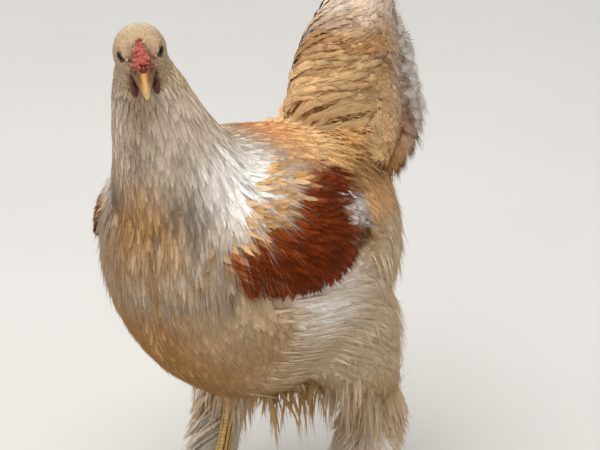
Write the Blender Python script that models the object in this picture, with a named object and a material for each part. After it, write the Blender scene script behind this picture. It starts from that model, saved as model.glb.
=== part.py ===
"""A Brahma cockerel, life size, standing as a still model.

Metres, +Z up. The bird faces -Y, its left is +X, and it stands on z = 0.
Each form below is placed in the bird's own frame, and STANCE_SHIFT then moves the whole bird
so that the origin lies under the middle of its bounding box.
"""
import math
import random

import bmesh
import bpy
import numpy as np
from mathutils import Matrix, Vector
from mathutils.bvhtree import BVHTree

# The gap that touching solids keep.
GAP = 0.0003
SHORT_EDGES = (0.0006, 0.0005, 0.0004, 0.0003, 0.0002, 0.0001)
STANCE_SHIFT = Vector((0.0, 0.0293, 0.0))

# Torso: y, top, bottom, half width, height of the widest place.
TORSO = [
    (-0.158, 0.402, 0.324, 0.036, 0.364),
    (-0.146, 0.430, 0.282, 0.063, 0.356),
    (-0.125, 0.451, 0.243, 0.084, 0.346),
    (-0.095, 0.464, 0.210, 0.099, 0.336),
    (-0.055, 0.467, 0.185, 0.109, 0.326),
    (-0.010, 0.458, 0.174, 0.113, 0.318),
    (0.035, 0.446, 0.173, 0.111, 0.312),
    (0.075, 0.434, 0.181, 0.104, 0.308),
    (0.112, 0.420, 0.201, 0.091, 0.308),
    (0.142, 0.402, 0.232, 0.073, 0.312),
    (0.160, 0.376, 0.270, 0.048, 0.318),
]
TORSO_FRONT = (0.0, -0.164, 0.364)
TORSO_REAR = (0.0, 0.168, 0.322)
TORSO_SIDES = 24
TORSO_RINGS = 18

# Neck: y, z, half width, half depth, from inside the breast up to the nape.
NECK = [
    (-0.085, 0.395, 0.080, 0.068),
    (-0.104, 0.440, 0.067, 0.059),
    (-0.120, 0.482, 0.050, 0.047),
    (-0.132, 0.518, 0.038, 0.038),
    (-0.139, 0.546, 0.029, 0.030),
    (-0.141, 0.564, 0.022, 0.023),
]
NECK_TOP_X = -0.006
NECK_SIDES = 16
NECK_RINGS = 9
# Saddle, a cushion of feather on the back: thickness, and the ball that bounds it.
SADDLE = (0.005, (0.0, 0.072, 0.446), (0.076, 0.072, 0.046))

# The head's own frame: its origin lies midway between the eyes, and it looks along its own -Y.
HEAD_AT = Vector((0.001, -0.151, 0.578))
HEAD_TURN = math.radians(50)
HEAD_NOD = math.radians(20)
HEAD_TILT = math.radians(-6)
HEAD_FRAME = (
    Matrix.Translation(HEAD_AT)
    @ Matrix.Rotation(HEAD_TURN, 4, "Z")
    @ Matrix.Rotation(HEAD_NOD, 4, "X")
    @ Matrix.Rotation(HEAD_TILT, 4, "Y")
)
# Head: y, top, bottom, half width, height of the widest place.
HEAD = [
    (0.030, 0.0085, -0.0220, 0.0165, -0.006),
    (0.018, 0.0150, -0.0280, 0.0215, -0.006),
    (0.005, 0.0178, -0.0310, 0.0228, -0.005),
    (-0.007, 0.0168, -0.0290, 0.0205, -0.004),
    (-0.016, 0.0135, -0.0250, 0.0165, -0.004),
    (-0.024, 0.0080, -0.0200, 0.0115, -0.005),
    (-0.030, 0.0015, -0.0140, 0.0070, -0.005),
]
HEAD_BACK = (0.0, 0.035, -0.007)
HEAD_FACE = (0.0, -0.033, -0.006)
HEAD_SIDES = 16
HEAD_RINGS = 10

EYE_AT = Vector((0.0142, -0.0085, 0.0035))
EYE_RADIUS = 0.0062

# Bill halves: y, z, half width, half height, from the root inside the face to the tip.
BILL_UPPER = [
    (-0.0170, 0.0010, 0.0105, 0.0075),
    (-0.0250, 0.0015, 0.0096, 0.0070),
    (-0.0340, 0.0000, 0.0074, 0.0058),
    (-0.0430, -0.0045, 0.0044, 0.0042),
    (-0.0490, -0.0105, 0.0018, 0.0022),
]
BILL_LOWER = [
    (-0.0170, -0.0095, 0.0098, 0.0044),
    (-0.0250, -0.0098, 0.0086, 0.0038),
    (-0.0340, -0.0108, 0.0060, 0.0030),
    (-0.0415, -0.0130, 0.0030, 0.0020),
]

# Legs: hip inside the torso, hock and foot, and the turn of the toes. The right leg stands in front.
LEGS = {
    "right": {
        "hip": (-0.058, 0.010, 0.270),
        "hock": (-0.060, 0.036, 0.136),
        "foot": (-0.062, 0.004, 0.020),
        "turn": 8,
    },
    "left": {
        "hip": (0.058, 0.040, 0.270),
        "hock": (0.076, 0.114, 0.143),
        "foot": (0.078, 0.074, 0.020),
        "turn": -10,
    },
}
# Thigh and shank: place along the limb, half width, half depth.
THIGH = [
    (-0.02, 0.054, 0.066),
    (0.25, 0.052, 0.064),
    (0.55, 0.042, 0.052),
    (0.82, 0.028, 0.034),
    (1.00, 0.018, 0.021),
]
SHANK = [
    (0.00, 0.0095, 0.0115),
    (0.12, 0.0105, 0.0125),
    (0.35, 0.0072, 0.0088),
    (0.75, 0.0072, 0.0084),
    (1.00, 0.0092, 0.0100),
]

# Toes: name, heading in degrees from straight ahead (positive inwards), length.
TOES = [("inner", 28, 0.056), ("middle", 0, 0.072), ("outer", -32, 0.058), ("hind", 172, 0.028)]
TOE_RADIUS = 0.0068
CLAW_LENGTH = 0.015

# Folded wing on the body's side: y, lower edge, upper edge, thickness, from the shoulder to the tip.
WING = [
    (-0.128, 0.372, 0.400, 0.004),
    (-0.118, 0.356, 0.422, 0.009),
    (-0.098, 0.346, 0.440, 0.012),
    (-0.062, 0.340, 0.447, 0.013),
    (-0.026, 0.338, 0.444, 0.012),
    (0.002, 0.342, 0.436, 0.009),
    (0.022, 0.352, 0.426, 0.006),
    (0.036, 0.366, 0.410, 0.003),
]
WING_ALONG = 10
WING_UP = 5


def clear_scene():
    for obj in list(bpy.data.objects):
        bpy.data.objects.remove(obj, do_unlink=True)


def linear(channel):
    return channel / 12.92 if channel <= 0.04045 else ((channel + 0.055) / 1.055) ** 2.4


def finish(name, hex_colour, roughness):
    """A Principled material of one sRGB colour."""
    made = bpy.data.materials.new(name)
    made.use_nodes = True
    shader = made.node_tree.nodes["Principled BSDF"]
    rgb = [linear(int(hex_colour[i : i + 2], 16) / 255) for i in (0, 2, 4)]
    shader.inputs["Base Color"].default_value = (*rgb, 1)
    shader.inputs["Roughness"].default_value = roughness
    return made


def spline(keys, at):
    """Rows of keys read at a place along their first column, on a smooth curve through them."""
    keys = np.array(keys, float)
    x = keys[:, 0]
    sign = 1 if x[-1] > x[0] else -1
    i = int(np.clip(np.searchsorted(sign * x, sign * at) - 1, 0, len(x) - 2))
    span = x[i + 1] - x[i]
    t = (at - x[i]) / span
    slope = np.gradient(keys[:, 1:], x, axis=0)
    a, b = keys[i, 1:], keys[i + 1, 1:]
    m, n = slope[i] * span, slope[i + 1] * span
    start = (2 * t**3 - 3 * t**2 + 1) * a + (t**3 - 2 * t**2 + t) * m
    return start + (3 * t**2 - 2 * t**3) * b + (t**3 - t**2) * n


def rows_at(keys, t):
    """Rows without a first column of places, read at t from 0 to 1 along them."""
    return spline([(i, *row) for i, row in enumerate(keys)], (len(keys) - 1) * t)


def mesh_object(name, points, faces, material=None, frame=None):
    """A mesh object whose normals point outwards."""
    mesh = bpy.data.meshes.new(name)
    mesh.from_pydata([tuple(p) for p in points], [], faces)
    bm = bmesh.new()
    bm.from_mesh(mesh)
    if frame is not None:
        bmesh.ops.transform(bm, matrix=frame, verts=bm.verts)
    bmesh.ops.recalc_face_normals(bm, faces=bm.faces)
    bm.to_mesh(mesh)
    bm.free()
    obj = bpy.data.objects.new(name, mesh)
    bpy.context.scene.collection.objects.link(obj)
    if material:
        mesh.materials.append(material)
    mesh.shade_smooth()
    return obj


def loft(name, rings, start, end, material=None, frame=None):
    """A closed skin over rings of equal count, with a point at each end, or None for a flat end."""
    count = len(rings[0])
    points = [p for ring in rings for p in ring]
    faces = []
    for r in range(len(rings) - 1):
        a, b = r * count, (r + 1) * count
        for k in range(count):
            n = (k + 1) % count
            faces.append((a + k, a + n, b + n, b + k))
    for pole, first in ((start, 0), (end, (len(rings) - 1) * count)):
        ring = [first + k for k in range(count)]
        if pole is None:
            faces.append(ring)
            continue
        points.append(pole)
        faces += [(ring[(k + 1) % count], ring[k], len(points) - 1) for k in range(count)]
    return mesh_object(name, points, faces, material, frame)


def upright_loft(name, stations, start, end, sides, rings, material=None, frame=None, grow=0.0):
    """A body of egg-shaped sections that stand across it. grow makes it that much bigger all round."""
    first, last = stations[0][0], stations[-1][0]
    out = 1 if last > first else -1
    made = []
    for r in range(rings):
        # Sections crowd towards the ends, where the shape closes fast.
        t = 0.5 - 0.5 * math.cos(math.pi * r / (rings - 1))
        y = first + (last - first) * t
        top, bottom, half_width, widest = spline(stations, y)
        ring = []
        for k in range(sides):
            angle = 2 * math.pi * (k + 0.5) / sides
            c, s = math.cos(angle), math.sin(angle)
            height = (top - widest) if s > 0 else (widest - bottom)
            ring.append(((half_width + grow) * c, y + grow * out * (2 * t - 1), widest + (height + grow) * s))
        made.append(ring)
    ends = [Vector(start) - Vector((0, grow * out, 0)), Vector(end) + Vector((0, grow * out, 0))]
    return loft(name, made, ends[0], ends[1], material, frame)


def tube(name, path, radii, side, sides, start=None, end=None, material=None, frame=None, grow=0.0):
    """A limb: elliptical sections square to a path. side gives the way in which the first radius lies."""
    path = [Vector(p) for p in path]
    side = Vector(side)
    rings = []
    for i, p in enumerate(path):
        ahead = (path[min(i + 1, len(path) - 1)] - path[max(i - 1, 0)]).normalized()
        across = (side - ahead * ahead.dot(side)).normalized()
        up = across.cross(ahead)
        wide, deep = radii[i]
        ring = []
        for k in range(sides):
            angle = 2 * math.pi * k / sides
            ring.append(p + across * (wide + grow) * math.cos(angle) + up * (deep + grow) * math.sin(angle))
        rings.append(ring)
    return loft(name, rings, start, end, material, frame)


def ball(name, at, radii, segments=16, rings=10, material=None, frame=None, lean=0.0):
    """An ellipsoid. lean tips it about its own X, in degrees."""
    mesh = bpy.data.meshes.new(name)
    bm = bmesh.new()
    bmesh.ops.create_uvsphere(bm, u_segments=segments, v_segments=rings, radius=1)
    turn = Matrix.Rotation(math.radians(lean), 4, "X")
    place = Matrix.Translation(at) @ turn @ Matrix.Diagonal((*radii, 1))
    bmesh.ops.transform(bm, matrix=(frame @ place) if frame else place, verts=bm.verts)
    bm.to_mesh(mesh)
    bm.free()
    obj = bpy.data.objects.new(name, mesh)
    bpy.context.scene.collection.objects.link(obj)
    if material:
        mesh.materials.append(material)
    mesh.shade_smooth()
    return obj


def block(name, low, high):
    """A box between two corners."""
    points = [(x, y, z) for x in (low[0], high[0]) for y in (low[1], high[1]) for z in (low[2], high[2])]
    faces = [(0, 1, 3, 2), (4, 6, 7, 5), (0, 4, 5, 1), (2, 3, 7, 6), (0, 2, 6, 4), (1, 5, 7, 3)]
    return mesh_object(name, points, faces)


def boolean(obj, other, operation, solver="MANIFOLD"):
    """Applies one Boolean to obj at once and removes the other operand, an object or a collection."""
    modifier = obj.modifiers.new("cut", "BOOLEAN")
    modifier.operation = operation
    modifier.solver = solver
    grouped = isinstance(other, bpy.types.Collection)
    if grouped:
        modifier.operand_type = "COLLECTION"
        modifier.collection = other
    else:
        modifier.object = other
    bpy.context.view_layer.update()
    graph = bpy.context.evaluated_depsgraph_get()
    made = bpy.data.meshes.new_from_object(obj.evaluated_get(graph), depsgraph=graph)
    obj.modifiers.remove(modifier)
    obj.data = made
    for piece in list(other.objects) if grouped else [other]:
        bpy.data.objects.remove(piece, do_unlink=True)
    if grouped:
        bpy.data.collections.remove(other)
    return obj


def keep_largest(obj):
    """Leaves the largest closed surface of an object."""
    bm = bmesh.new()
    bm.from_mesh(obj.data)
    seen, shells = set(), []
    for seed in bm.faces:
        if seed in seen:
            continue
        shell, todo = [], [seed]
        seen.add(seed)
        while todo:
            face = todo.pop()
            shell.append(face)
            for edge in face.edges:
                for near in edge.link_faces:
                    if near not in seen:
                        seen.add(near)
                        todo.append(near)
        shells.append(shell)
    shells.sort(key=lambda shell: sum(face.calc_area() for face in shell))
    loose = [face for shell in shells[:-1] for face in shell]
    bmesh.ops.delete(bm, geom=loose, context="FACES")
    bm.to_mesh(obj.data)
    bm.free()
    return obj


def without_slivers(obj):
    """Closes up the shortest edges that a union leaves, as far as the surface stays closed."""
    for reach in SHORT_EDGES:
        bm = bmesh.new()
        bm.from_mesh(obj.data)
        bmesh.ops.triangulate(bm, faces=bm.faces)
        bmesh.ops.dissolve_degenerate(bm, edges=bm.edges, dist=reach)
        closed = all(len(edge.link_faces) == 2 for edge in bm.edges)
        if closed:
            bm.to_mesh(obj.data)
        bm.free()
        if closed:
            break
    return obj


def union(obj, pieces):
    """Joins closed pieces to obj in one Boolean and keeps the one body that they make."""
    group = bpy.data.collections.new("joined")
    bpy.context.scene.collection.children.link(group)
    for piece in pieces:
        for holder in list(piece.users_collection):
            holder.objects.unlink(piece)
        group.objects.link(piece)
    return without_slivers(keep_largest(boolean(obj, group, "UNION")))


def cut(obj, *cutters):
    for cutter in cutters:
        boolean(obj, cutter, "DIFFERENCE")
    return keep_largest(obj)


def torso_core(name, grow=0.0, material=None):
    return upright_loft(name, TORSO, TORSO_FRONT, TORSO_REAR, TORSO_SIDES, TORSO_RINGS, material, grow=grow)


def neck_core(name, grow=0.0, material=None):
    path, radii = [], []
    for r in range(NECK_RINGS):
        t = r / (NECK_RINGS - 1)
        y, z, wide, deep = rows_at(NECK, t)
        path.append((NECK_TOP_X * t, y, z))
        radii.append((wide, deep))
    top = Vector(path[-1]) + Vector((0, -0.002, 0.010 + grow))
    return tube(name, path, radii, (1, 0, 0), NECK_SIDES, None, top, material, grow=grow)


def head_core(name, grow=0.0, material=None):
    return upright_loft(name, HEAD, HEAD_BACK, HEAD_FACE, HEAD_SIDES, HEAD_RINGS, material, HEAD_FRAME, grow)


def torso_place(y, z, side):
    """A point on the torso's side at this y and height, and the outward direction there."""

    def level(at):
        top, bottom, wide, widest = spline(TORSO, at[1])
        tall = (top - widest) if at[2] > widest else (widest - bottom)
        return math.hypot(at[0] / wide, (at[2] - widest) / tall)

    top, bottom, wide, widest = spline(TORSO, y)
    tall = (top - widest) if z > widest else (widest - bottom)
    share = min(abs(z - widest) / tall, 0.98)
    at = Vector((side * wide * math.sqrt(1 - share * share), y, z))
    step = 0.001
    axes = [Vector((1, 0, 0)), Vector((0, 1, 0)), Vector((0, 0, 1))]
    out = Vector([level(at + step * axis) - level(at - step * axis) for axis in axes])
    return at, out.normalized()


def wing_core(name, side, grow=0.0, material=None):
    """The folded wing's bulk: a cushion over the body's side, from the shoulder to the wing's tip."""
    sunk = 0.003
    rings = []
    for i in range(WING_ALONG):
        t = i / (WING_ALONG - 1)
        y = WING[0][0] + (WING[-1][0] - WING[0][0]) * t
        low, high, thick = spline(WING, y)
        low, high = low - grow, high + grow
        y += grow * (2 * t - 1)
        outer, inner = [], []
        for k in range(WING_UP + 1):
            u = k / WING_UP
            at, out = torso_place(y, low + (high - low) * u, side)
            swell = thick * (1 - (2 * u - 1) ** 4) ** 0.5
            outer.append(at + out * (0.001 + swell + grow))
            inner.append(at - out * sunk)
        rings.append(outer + inner[::-1])
    return loft(name, rings, None, None, material)


def thigh(name, leg, grow=0.0, material=None):
    hip, hock = Vector(leg["hip"]), Vector(leg["hock"])
    path, radii = [], []
    for r in range(8):
        t = THIGH[0][0] + (THIGH[-1][0] - THIGH[0][0]) * r / 7
        path.append(hip.lerp(hock, t))
        radii.append(spline(THIGH, t))
    ahead = (hock - hip).normalized()
    ends = (hip - ahead * 0.02, hock + ahead * (0.006 + grow))
    return tube(name, path, radii, (1, 0, 0), 16, *ends, material, grow=grow)


def shank(name, leg, grow=0.0, material=None):
    hock, foot = Vector(leg["hock"]), Vector(leg["foot"])
    path, radii = [], []
    for r in range(8):
        path.append(hock.lerp(foot, r / 7))
        radii.append(spline(SHANK, r / 7))
    ahead = (foot - hock).normalized()
    ends = (hock - ahead * (0.007 + grow), foot + ahead * (0.004 + grow))
    return tube(name, path, radii, (1, 0, 0), 12, *ends, material, grow=grow)


def toe_thickness(t):
    return TOE_RADIUS * (1.05 - 0.32 * t)


def toe_path(leg, side, heading, length):
    """A toe's middle line from the ball of the foot along the floor, a little arched, and its heading."""
    at = Vector(leg["foot"])
    turn = Matrix.Rotation(math.radians(leg["turn"] - heading * side), 4, "Z")
    ahead = turn @ Vector((0, -1, 0))
    points = []
    for i in range(5):
        t = i / 4
        height = 0.75 * toe_thickness(t) + 0.0045 * (1 - t) ** 2 + 0.0008 * math.sin(t * math.pi * 3) ** 2
        points.append(Vector((at.x, at.y, height)) + ahead * length * t)
    return points, ahead


def foot(name, leg, side, material=None):
    """Four toes joined at the ball of the foot."""
    at = Vector(leg["foot"])
    base = ball(name, Vector((at.x, at.y, 0.012)), (0.0125, 0.014, 0.0128), 8, 6, material)
    toes = []
    for toe, heading, length in TOES:
        path, ahead = toe_path(leg, side, heading, length)
        thick = [toe_thickness(i / (len(path) - 1)) for i in range(len(path))]
        radii = [(t, t * 0.92) for t in thick]
        across = ahead.cross(Vector((0, 0, 1)))
        toes.append(tube(toe, path, radii, across, 6, None, path[-1] + ahead * 0.004))
    return union(base, toes)


def claw(name, leg, side, heading, length, grow=0.0, material=None):
    """A horn claw on a toe's end, curved down to the floor."""
    path, ahead = toe_path(leg, side, heading, length)
    root = path[-1] - ahead * 0.003
    points, radii = [], []
    for i in range(4):
        t = i / 3
        drop = 0.0022 * math.sin(t * 2.2) - 0.0026 * t * t
        points.append(root + ahead * CLAW_LENGTH * t + Vector((0, 0, drop)))
        radii.append((0.0030 * (1 - t) ** 0.7 + 0.0004, 0.0031 * (1 - t) ** 0.7 + 0.0004))
    tip = points[-1] + ahead * (0.0008 + grow)
    across = ahead.cross(Vector((0, 0, 1)))
    return tube(name, points, radii, across, 6, root - ahead * grow, tip, material, grow=grow)


def bill(name, rows, grow=0.0, material=None):
    """One half of the bill, in the head's frame."""
    path, radii = [], []
    for r in range(8):
        y, z, wide, deep = rows_at(rows, r / 7)
        path.append(Vector((0, y, z)))
        radii.append((wide, deep))
    ahead = (path[-1] - path[-2]).normalized()
    ends = (path[0] - ahead * (0.001 + grow), path[-1] + ahead * (0.0016 + grow))
    return tube(name, path, radii, (1, 0, 0), 12, *ends, material, HEAD_FRAME, grow)


def comb(name, material=None):
    """A pea comb: three low rows of bumps from the bill over the brow."""
    base = ball(name, Vector((0, -0.021, 0.0125)), (0.0082, 0.0150, 0.0050), 10, 6, material, HEAD_FRAME, 26)
    bumps = []
    for x, high in ((-0.0052, 0.85), (0.0, 1.2), (0.0052, 0.85)):
        for i in range(4):
            t = i / 3
            rise = 0.0125 * t + 0.0032 * math.sin(math.pi * t) * high
            at = Vector((x * (0.8 + 0.3 * math.sin(math.pi * t)), -0.0330 + 0.0235 * t, 0.0095 + rise))
            size = (0.0030 + 0.0008 * math.sin(math.pi * t)) * (1.1 if x == 0 else 1.0)
            bumps.append(ball("bump", at, (size, size * 1.15, size * high * 1.2), 6, 4, None, HEAD_FRAME))
    return union(base, bumps)


def wattle(name, side, grow=0.0, material=None):
    radii = (0.0030 + grow, 0.0052 + grow, 0.0085 + grow)
    return ball(name, Vector((side * 0.0098, -0.0235, -0.0225)), radii, 10, 7, material, HEAD_FRAME, 18)


def eye(name, side, grow=0.0, material=None):
    radius = EYE_RADIUS + grow
    at = Vector((side * EYE_AT.x, EYE_AT.y, EYE_AT.z))
    return ball(name, at, (radius, radius, radius), 12, 7, material, HEAD_FRAME)


def eyelid(side):
    """A ring of lid round the eye."""
    out = Vector((side * 0.90, -0.42, 0.10)).normalized()
    centre = Vector((side * EYE_AT.x, EYE_AT.y, EYE_AT.z)) + out * 0.0040
    turn = out.to_track_quat("Z", "Y").to_matrix().to_4x4()
    ring, sides = 10, 4
    points, faces = [], []
    for i in range(ring):
        a = 2 * math.pi * i / ring
        mid = Vector((0.0058 * math.cos(a), 0.0052 * math.sin(a), 0))
        for k in range(sides):
            b = 2 * math.pi * k / sides
            swing = mid.normalized() * 0.0013 * math.cos(b)
            points.append(mid + swing + Vector((0, 0, 0.0013 * math.sin(b))))
    for i in range(ring):
        for k in range(sides):
            a, b = i * sides, ((i + 1) % ring) * sides
            n = (k + 1) % sides
            faces.append((a + k, b + k, b + n, a + n))
    return mesh_object("lid", points, faces, frame=HEAD_FRAME @ Matrix.Translation(centre) @ turn)


def lobe(side, grow=0.0):
    """An ear lobe."""
    radii = (0.0030 + grow, 0.0048 + grow, 0.0072 + grow)
    return ball("lobe", Vector((side * 0.0200, 0.0090, -0.0130)), radii, 10, 6, None, HEAD_FRAME)


def head(material):
    """Skull with brows, lids and ear lobes, hollowed for the eyes and the bill."""
    made = head_core("head", material=material)
    pieces = []
    for side in (1, -1):
        brow = Vector((side * 0.0128, -0.0085, 0.0118))
        pieces.append(ball("brow", brow, (0.0042, 0.0115, 0.0034), 10, 6, None, HEAD_FRAME, 14))
        pieces.append(lobe(side))
        pieces.append(eyelid(side))
    union(made, pieces)
    cut(made, eye("cutter", 1, GAP), eye("cutter", -1, GAP))
    return cut(made, bill("cutter", BILL_UPPER, GAP), bill("cutter", BILL_LOWER, GAP))


def upper_bill(material):
    """The upper half with its nostrils."""
    made = bill("beak_upper", BILL_UPPER, material=material)
    holes = []
    for side in (1, -1):
        at = Vector((side * 0.0068, -0.0300, 0.0036))
        holes.append(ball("nostril", at, (0.0022, 0.0026, 0.0011), 8, 6, None, HEAD_FRAME, 20))
    return cut(made, *holes)


# Feather outlines: place along the feather and share of its full half width there.
LANCE = [(0.0, 0.34), (0.33, 0.92), (0.67, 1.0), (0.86, 0.68), (1.0, 0.20)]
BROAD = [(0.0, 0.34), (0.33, 0.88), (0.67, 1.0), (0.86, 0.86), (1.0, 0.42)]
VANE_THICK = 0.0009
ROOT_SUNK = 0.003
CLEARANCE = 0.0024
CLEAR_OF_VANES = 0.0010


def feather(line, ups, half_width, outline, roll=0.0, columns=1, camber=0.0, thick=VANE_THICK):
    """A feather of even thickness along a line, split into triangles alike on both faces.

    ups are the ways in which its upper face looks. roll lifts one edge and lowers the other, so that
    neighbours overlap like shingles, and camber lowers both, each as a share of the half width.
    """
    upper, lower = [], []
    last = len(line) - 1
    for i, p in enumerate(line):
        ahead = (line[min(i + 1, last)] - line[max(i - 1, 0)]).normalized()
        up = (ups[i] - ahead * ahead.dot(ups[i])).normalized()
        across = ahead.cross(up)
        wide = half_width * float(np.interp(i / last, *zip(*outline)))
        for j in range(columns + 1):
            u = 2 * j / columns - 1
            q = p + across * (u * wide) + up * (roll * wide * u - camber * wide * u * u)
            upper.append(q + up * thick / 2)
            lower.append(q - up * thick / 2)
    row, base = columns + 1, len(upper)
    faces = []
    for i in range(last):
        for j in range(columns):
            a, b, c, d = i * row + j, i * row + j + 1, (i + 1) * row + j + 1, (i + 1) * row + j
            faces += [(a, b, c), (a, c, d), (base + c, base + b, base + a), (base + d, base + c, base + a)]
        for a, d in ((i * row, (i + 1) * row), ((i + 1) * row - 1, (i + 2) * row - 1)):
            faces += [(a, d, base + d), (a, base + d, base + a)]
    for first in (0, last * row):
        for j in range(columns):
            a, b = first + j, first + j + 1
            faces += [(a, b, base + b), (a, base + b, base + a)]
    return mesh_object("feather", upper + lower, faces)


def surface(*objects):
    """One tree over the outsides of some objects, to lay feathers on. It removes the ground pieces."""
    points, faces = [], []
    for obj in objects:
        base = len(points)
        points += [v.co.copy() for v in obj.data.vertices]
        faces += [[base + i for i in face.vertices] for face in obj.data.polygons]
        if obj.name.startswith("ground"):
            bpy.data.objects.remove(obj, do_unlink=True)
    return BVHTree.FromPolygons(points, faces)


def grounds(over_wings):
    """The torso and the wings, grown a little, for feathers that lie over them."""
    wings = [wing_core("ground", side, over_wings) for side in (1, -1)]
    return [torso_core("ground", 0.001), *wings]


def swollen(obj, by):
    """A copy of an object moved out along its normals."""
    mesh = obj.data.copy()
    bm = bmesh.new()
    bm.from_mesh(mesh)
    bm.normal_update()
    shifts = [v.normal.copy() for v in bm.verts]
    for v, shift in zip(bm.verts, shifts):
        v.co += shift * by
    bm.to_mesh(mesh)
    bm.free()
    copy = bpy.data.objects.new("swollen", mesh)
    bpy.context.scene.collection.objects.link(copy)
    return copy


def drape(tree, start, heading, length, steps, lift, pull):
    """A feather's middle line from a point of the surface along it, and its upward directions.

    lift is how far its tip stands off, and pull bends its heading at each step.
    """
    at, out = tree.find_nearest(start)[:2]
    step = length / steps
    line, ups = [at - out * ROOT_SUNK], [out]
    for i in range(1, steps + 1):
        heading = heading + pull
        heading = (heading - out * heading.dot(out)).normalized()
        guess = at + heading * step
        hit, normal = tree.ray_cast(guess + out * 0.025, -out, 0.045)[:2]
        drop = step * 0.35 if hit is None else (guess - hit).dot(out)
        if hit is not None:
            out = (out * 0.45 + normal * 0.55).normalized()
        at = guess - out * min(drop, step * 0.35)
        line.append(at + out * (CLEARANCE + lift * i / steps))
        ups.append(out)
    return line, ups


def bend(points, steps):
    """Points along the smooth curve that four handles steer."""
    a, b, c, d = points
    made = []
    for i in range(steps + 1):
        t = i / steps
        s = 1 - t
        made.append(a * s**3 + b * (3 * s * s * t) + c * (3 * s * t * t) + d * t**3)
    return made


# Hackle tiers down the neck: place from the nape down to the breast, count, length, half width, segments.
HACKLE = [
    (0.90, 8, 0.046, 0.0106, 3),
    (0.69, 9, 0.052, 0.0134, 3),
    (0.47, 11, 0.056, 0.0150, 3),
    (0.24, 15, 0.064, 0.0176, 3),
]
HACKLE_LIFT = 0.0026
SHINGLE = 0.12


def neck(material, wings):
    """The neck with its hackle in tiers, from the head down over the shoulders and clear of the wings."""
    made = neck_core("neck", 0.0, material)
    tree = surface(made, *grounds(0.0055))
    draw = random.Random(7)
    locks = []
    for tier, (place, count, length, half_width, parts) in enumerate(HACKLE):
        y, z, wide, deep = rows_at(NECK, place)
        below = Vector((NECK_TOP_X * (place - 0.1), *rows_at(NECK, place - 0.1)[:2]))
        centre = Vector((NECK_TOP_X * place, y, z))
        down = (below - centre).normalized()
        back = Vector((0, 1, 0)) - down * down.y
        for k in range(count):
            angle = 2 * math.pi * (k + 0.5 * (tier % 2) + draw.uniform(-0.06, 0.06)) / count
            start = centre + Vector((1, 0, 0)) * wide * math.sin(angle) + back * deep * math.cos(angle)
            reach = length * draw.uniform(0.94, 1.10)
            pull = Vector((0, 0.10 * math.cos(angle), -0.12))
            line, ups = drape(tree, start, down, reach, parts, HACKLE_LIFT * draw.uniform(0.9, 1.1), pull)
            locks.append(feather(line, ups, half_width, LANCE, SHINGLE))
    union(made, locks)
    cut(made, torso_core("cutter", GAP), head_core("cutter", GAP), bill("cutter", BILL_LOWER, GAP))
    cut(made, wattle("cutter", 1, GAP), wattle("cutter", -1, GAP), lobe(1, GAP), lobe(-1, GAP))
    return cut(made, *[swollen(obj, CLEAR_OF_VANES) for obj in wings])


# Wing feathers: tips along the lower and rear edge, their slant below level in degrees, length.
WING_TIPS = [
    (-0.108, 0.352, 66, 0.040),
    (-0.080, 0.342, 60, 0.060),
    (-0.050, 0.335, 54, 0.076),
    (-0.020, 0.332, 47, 0.088),
    (0.008, 0.337, 40, 0.092),
    (0.030, 0.354, 33, 0.090),
    (0.042, 0.380, 26, 0.084),
    (0.044, 0.406, 18, 0.076),
]
# Tiers up from the flight feathers: share of the length by which the tips stand back, count, length share,
# half width and lift.
WING_TIERS = [
    (0.0, 9, 0.60, 0.0134, 0.0006),
    (0.40, 6, 0.40, 0.0144, 0.0016),
    (0.68, 4, 0.32, 0.0150, 0.0024),
]


def wing_thickness(y, z):
    """How far the wing's bulk stands off the body at this place, or 0 beside it."""
    if not WING[0][0] < y < WING[-1][0]:
        return 0.0
    low, high, thick = spline(WING, y)
    u = (z - low) / (high - low)
    return thick * (1 - (2 * u - 1) ** 4) ** 0.5 if 0 < u < 1 else 0.0


def wing(name, side, material):
    """A folded wing: its bulk with the flight feathers and two tiers of coverts."""
    made = wing_core(name, side, material=material)
    draw = random.Random(11)
    vanes = []
    for back, count, share, half_width, lift in WING_TIERS:
        for k in range(count):
            y, z, slant, length = rows_at(WING_TIPS, k / (count - 1))
            slant = math.radians(slant + draw.uniform(-2, 2))
            along = Vector((0, math.cos(slant), -math.sin(slant)))
            tip = Vector((0, y, z)) - along * length * (back + draw.uniform(-0.03, 0.03))
            line, ups = [], []
            for i in range(4):
                t = i / 3
                at = tip - along * length * share * (1 - t)
                place, out = torso_place(at.y, at.z, side)
                rise = wing_thickness(at.y, at.z) + (lift * (0.6 + 0.4 * t) if i else -ROOT_SUNK * 0.7)
                line.append(place + out * (CLEARANCE + rise))
                ups.append((out + Vector((0, 0.06, 0.12))).normalized())
            vanes.append(feather(line, ups, half_width, BROAD, SHINGLE * side))
    union(made, vanes)
    return cut(made, torso_core("cutter", GAP))


# Tail core under the coverts: y, z, half width, half depth.
TAIL_CORE = [
    (0.085, 0.385, 0.042, 0.040),
    (0.120, 0.420, 0.042, 0.040),
    (0.146, 0.446, 0.034, 0.034),
    (0.164, 0.466, 0.022, 0.024),
    (0.174, 0.478, 0.010, 0.012),
]
# The tail's two fans spread from one point: y and z.
TAIL_FAN = (0.104, 0.412)
# Feather tiers on each side, inmost first: count, steepest and flattest rise in degrees, distance of the
# roots from the fan's point, distance of the steepest and the flattest tip, their distance from the middle
# and that of the roots, half width, curl.
TAIL_TIERS = [
    (5, 65, 13, 0.045, 0.192, 0.128, 0.008, 0.046, 0.012, 0.0170, 0.04),
    (5, 68, 0, 0.036, 0.156, 0.106, 0.026, 0.056, 0.024, 0.0185, 0.16),
    (4, 66, -12, 0.022, 0.124, 0.086, 0.040, 0.062, 0.034, 0.0180, 0.22),
    (4, 62, -30, 0.006, 0.088, 0.062, 0.050, 0.064, 0.040, 0.0180, 0.26),
]
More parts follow.
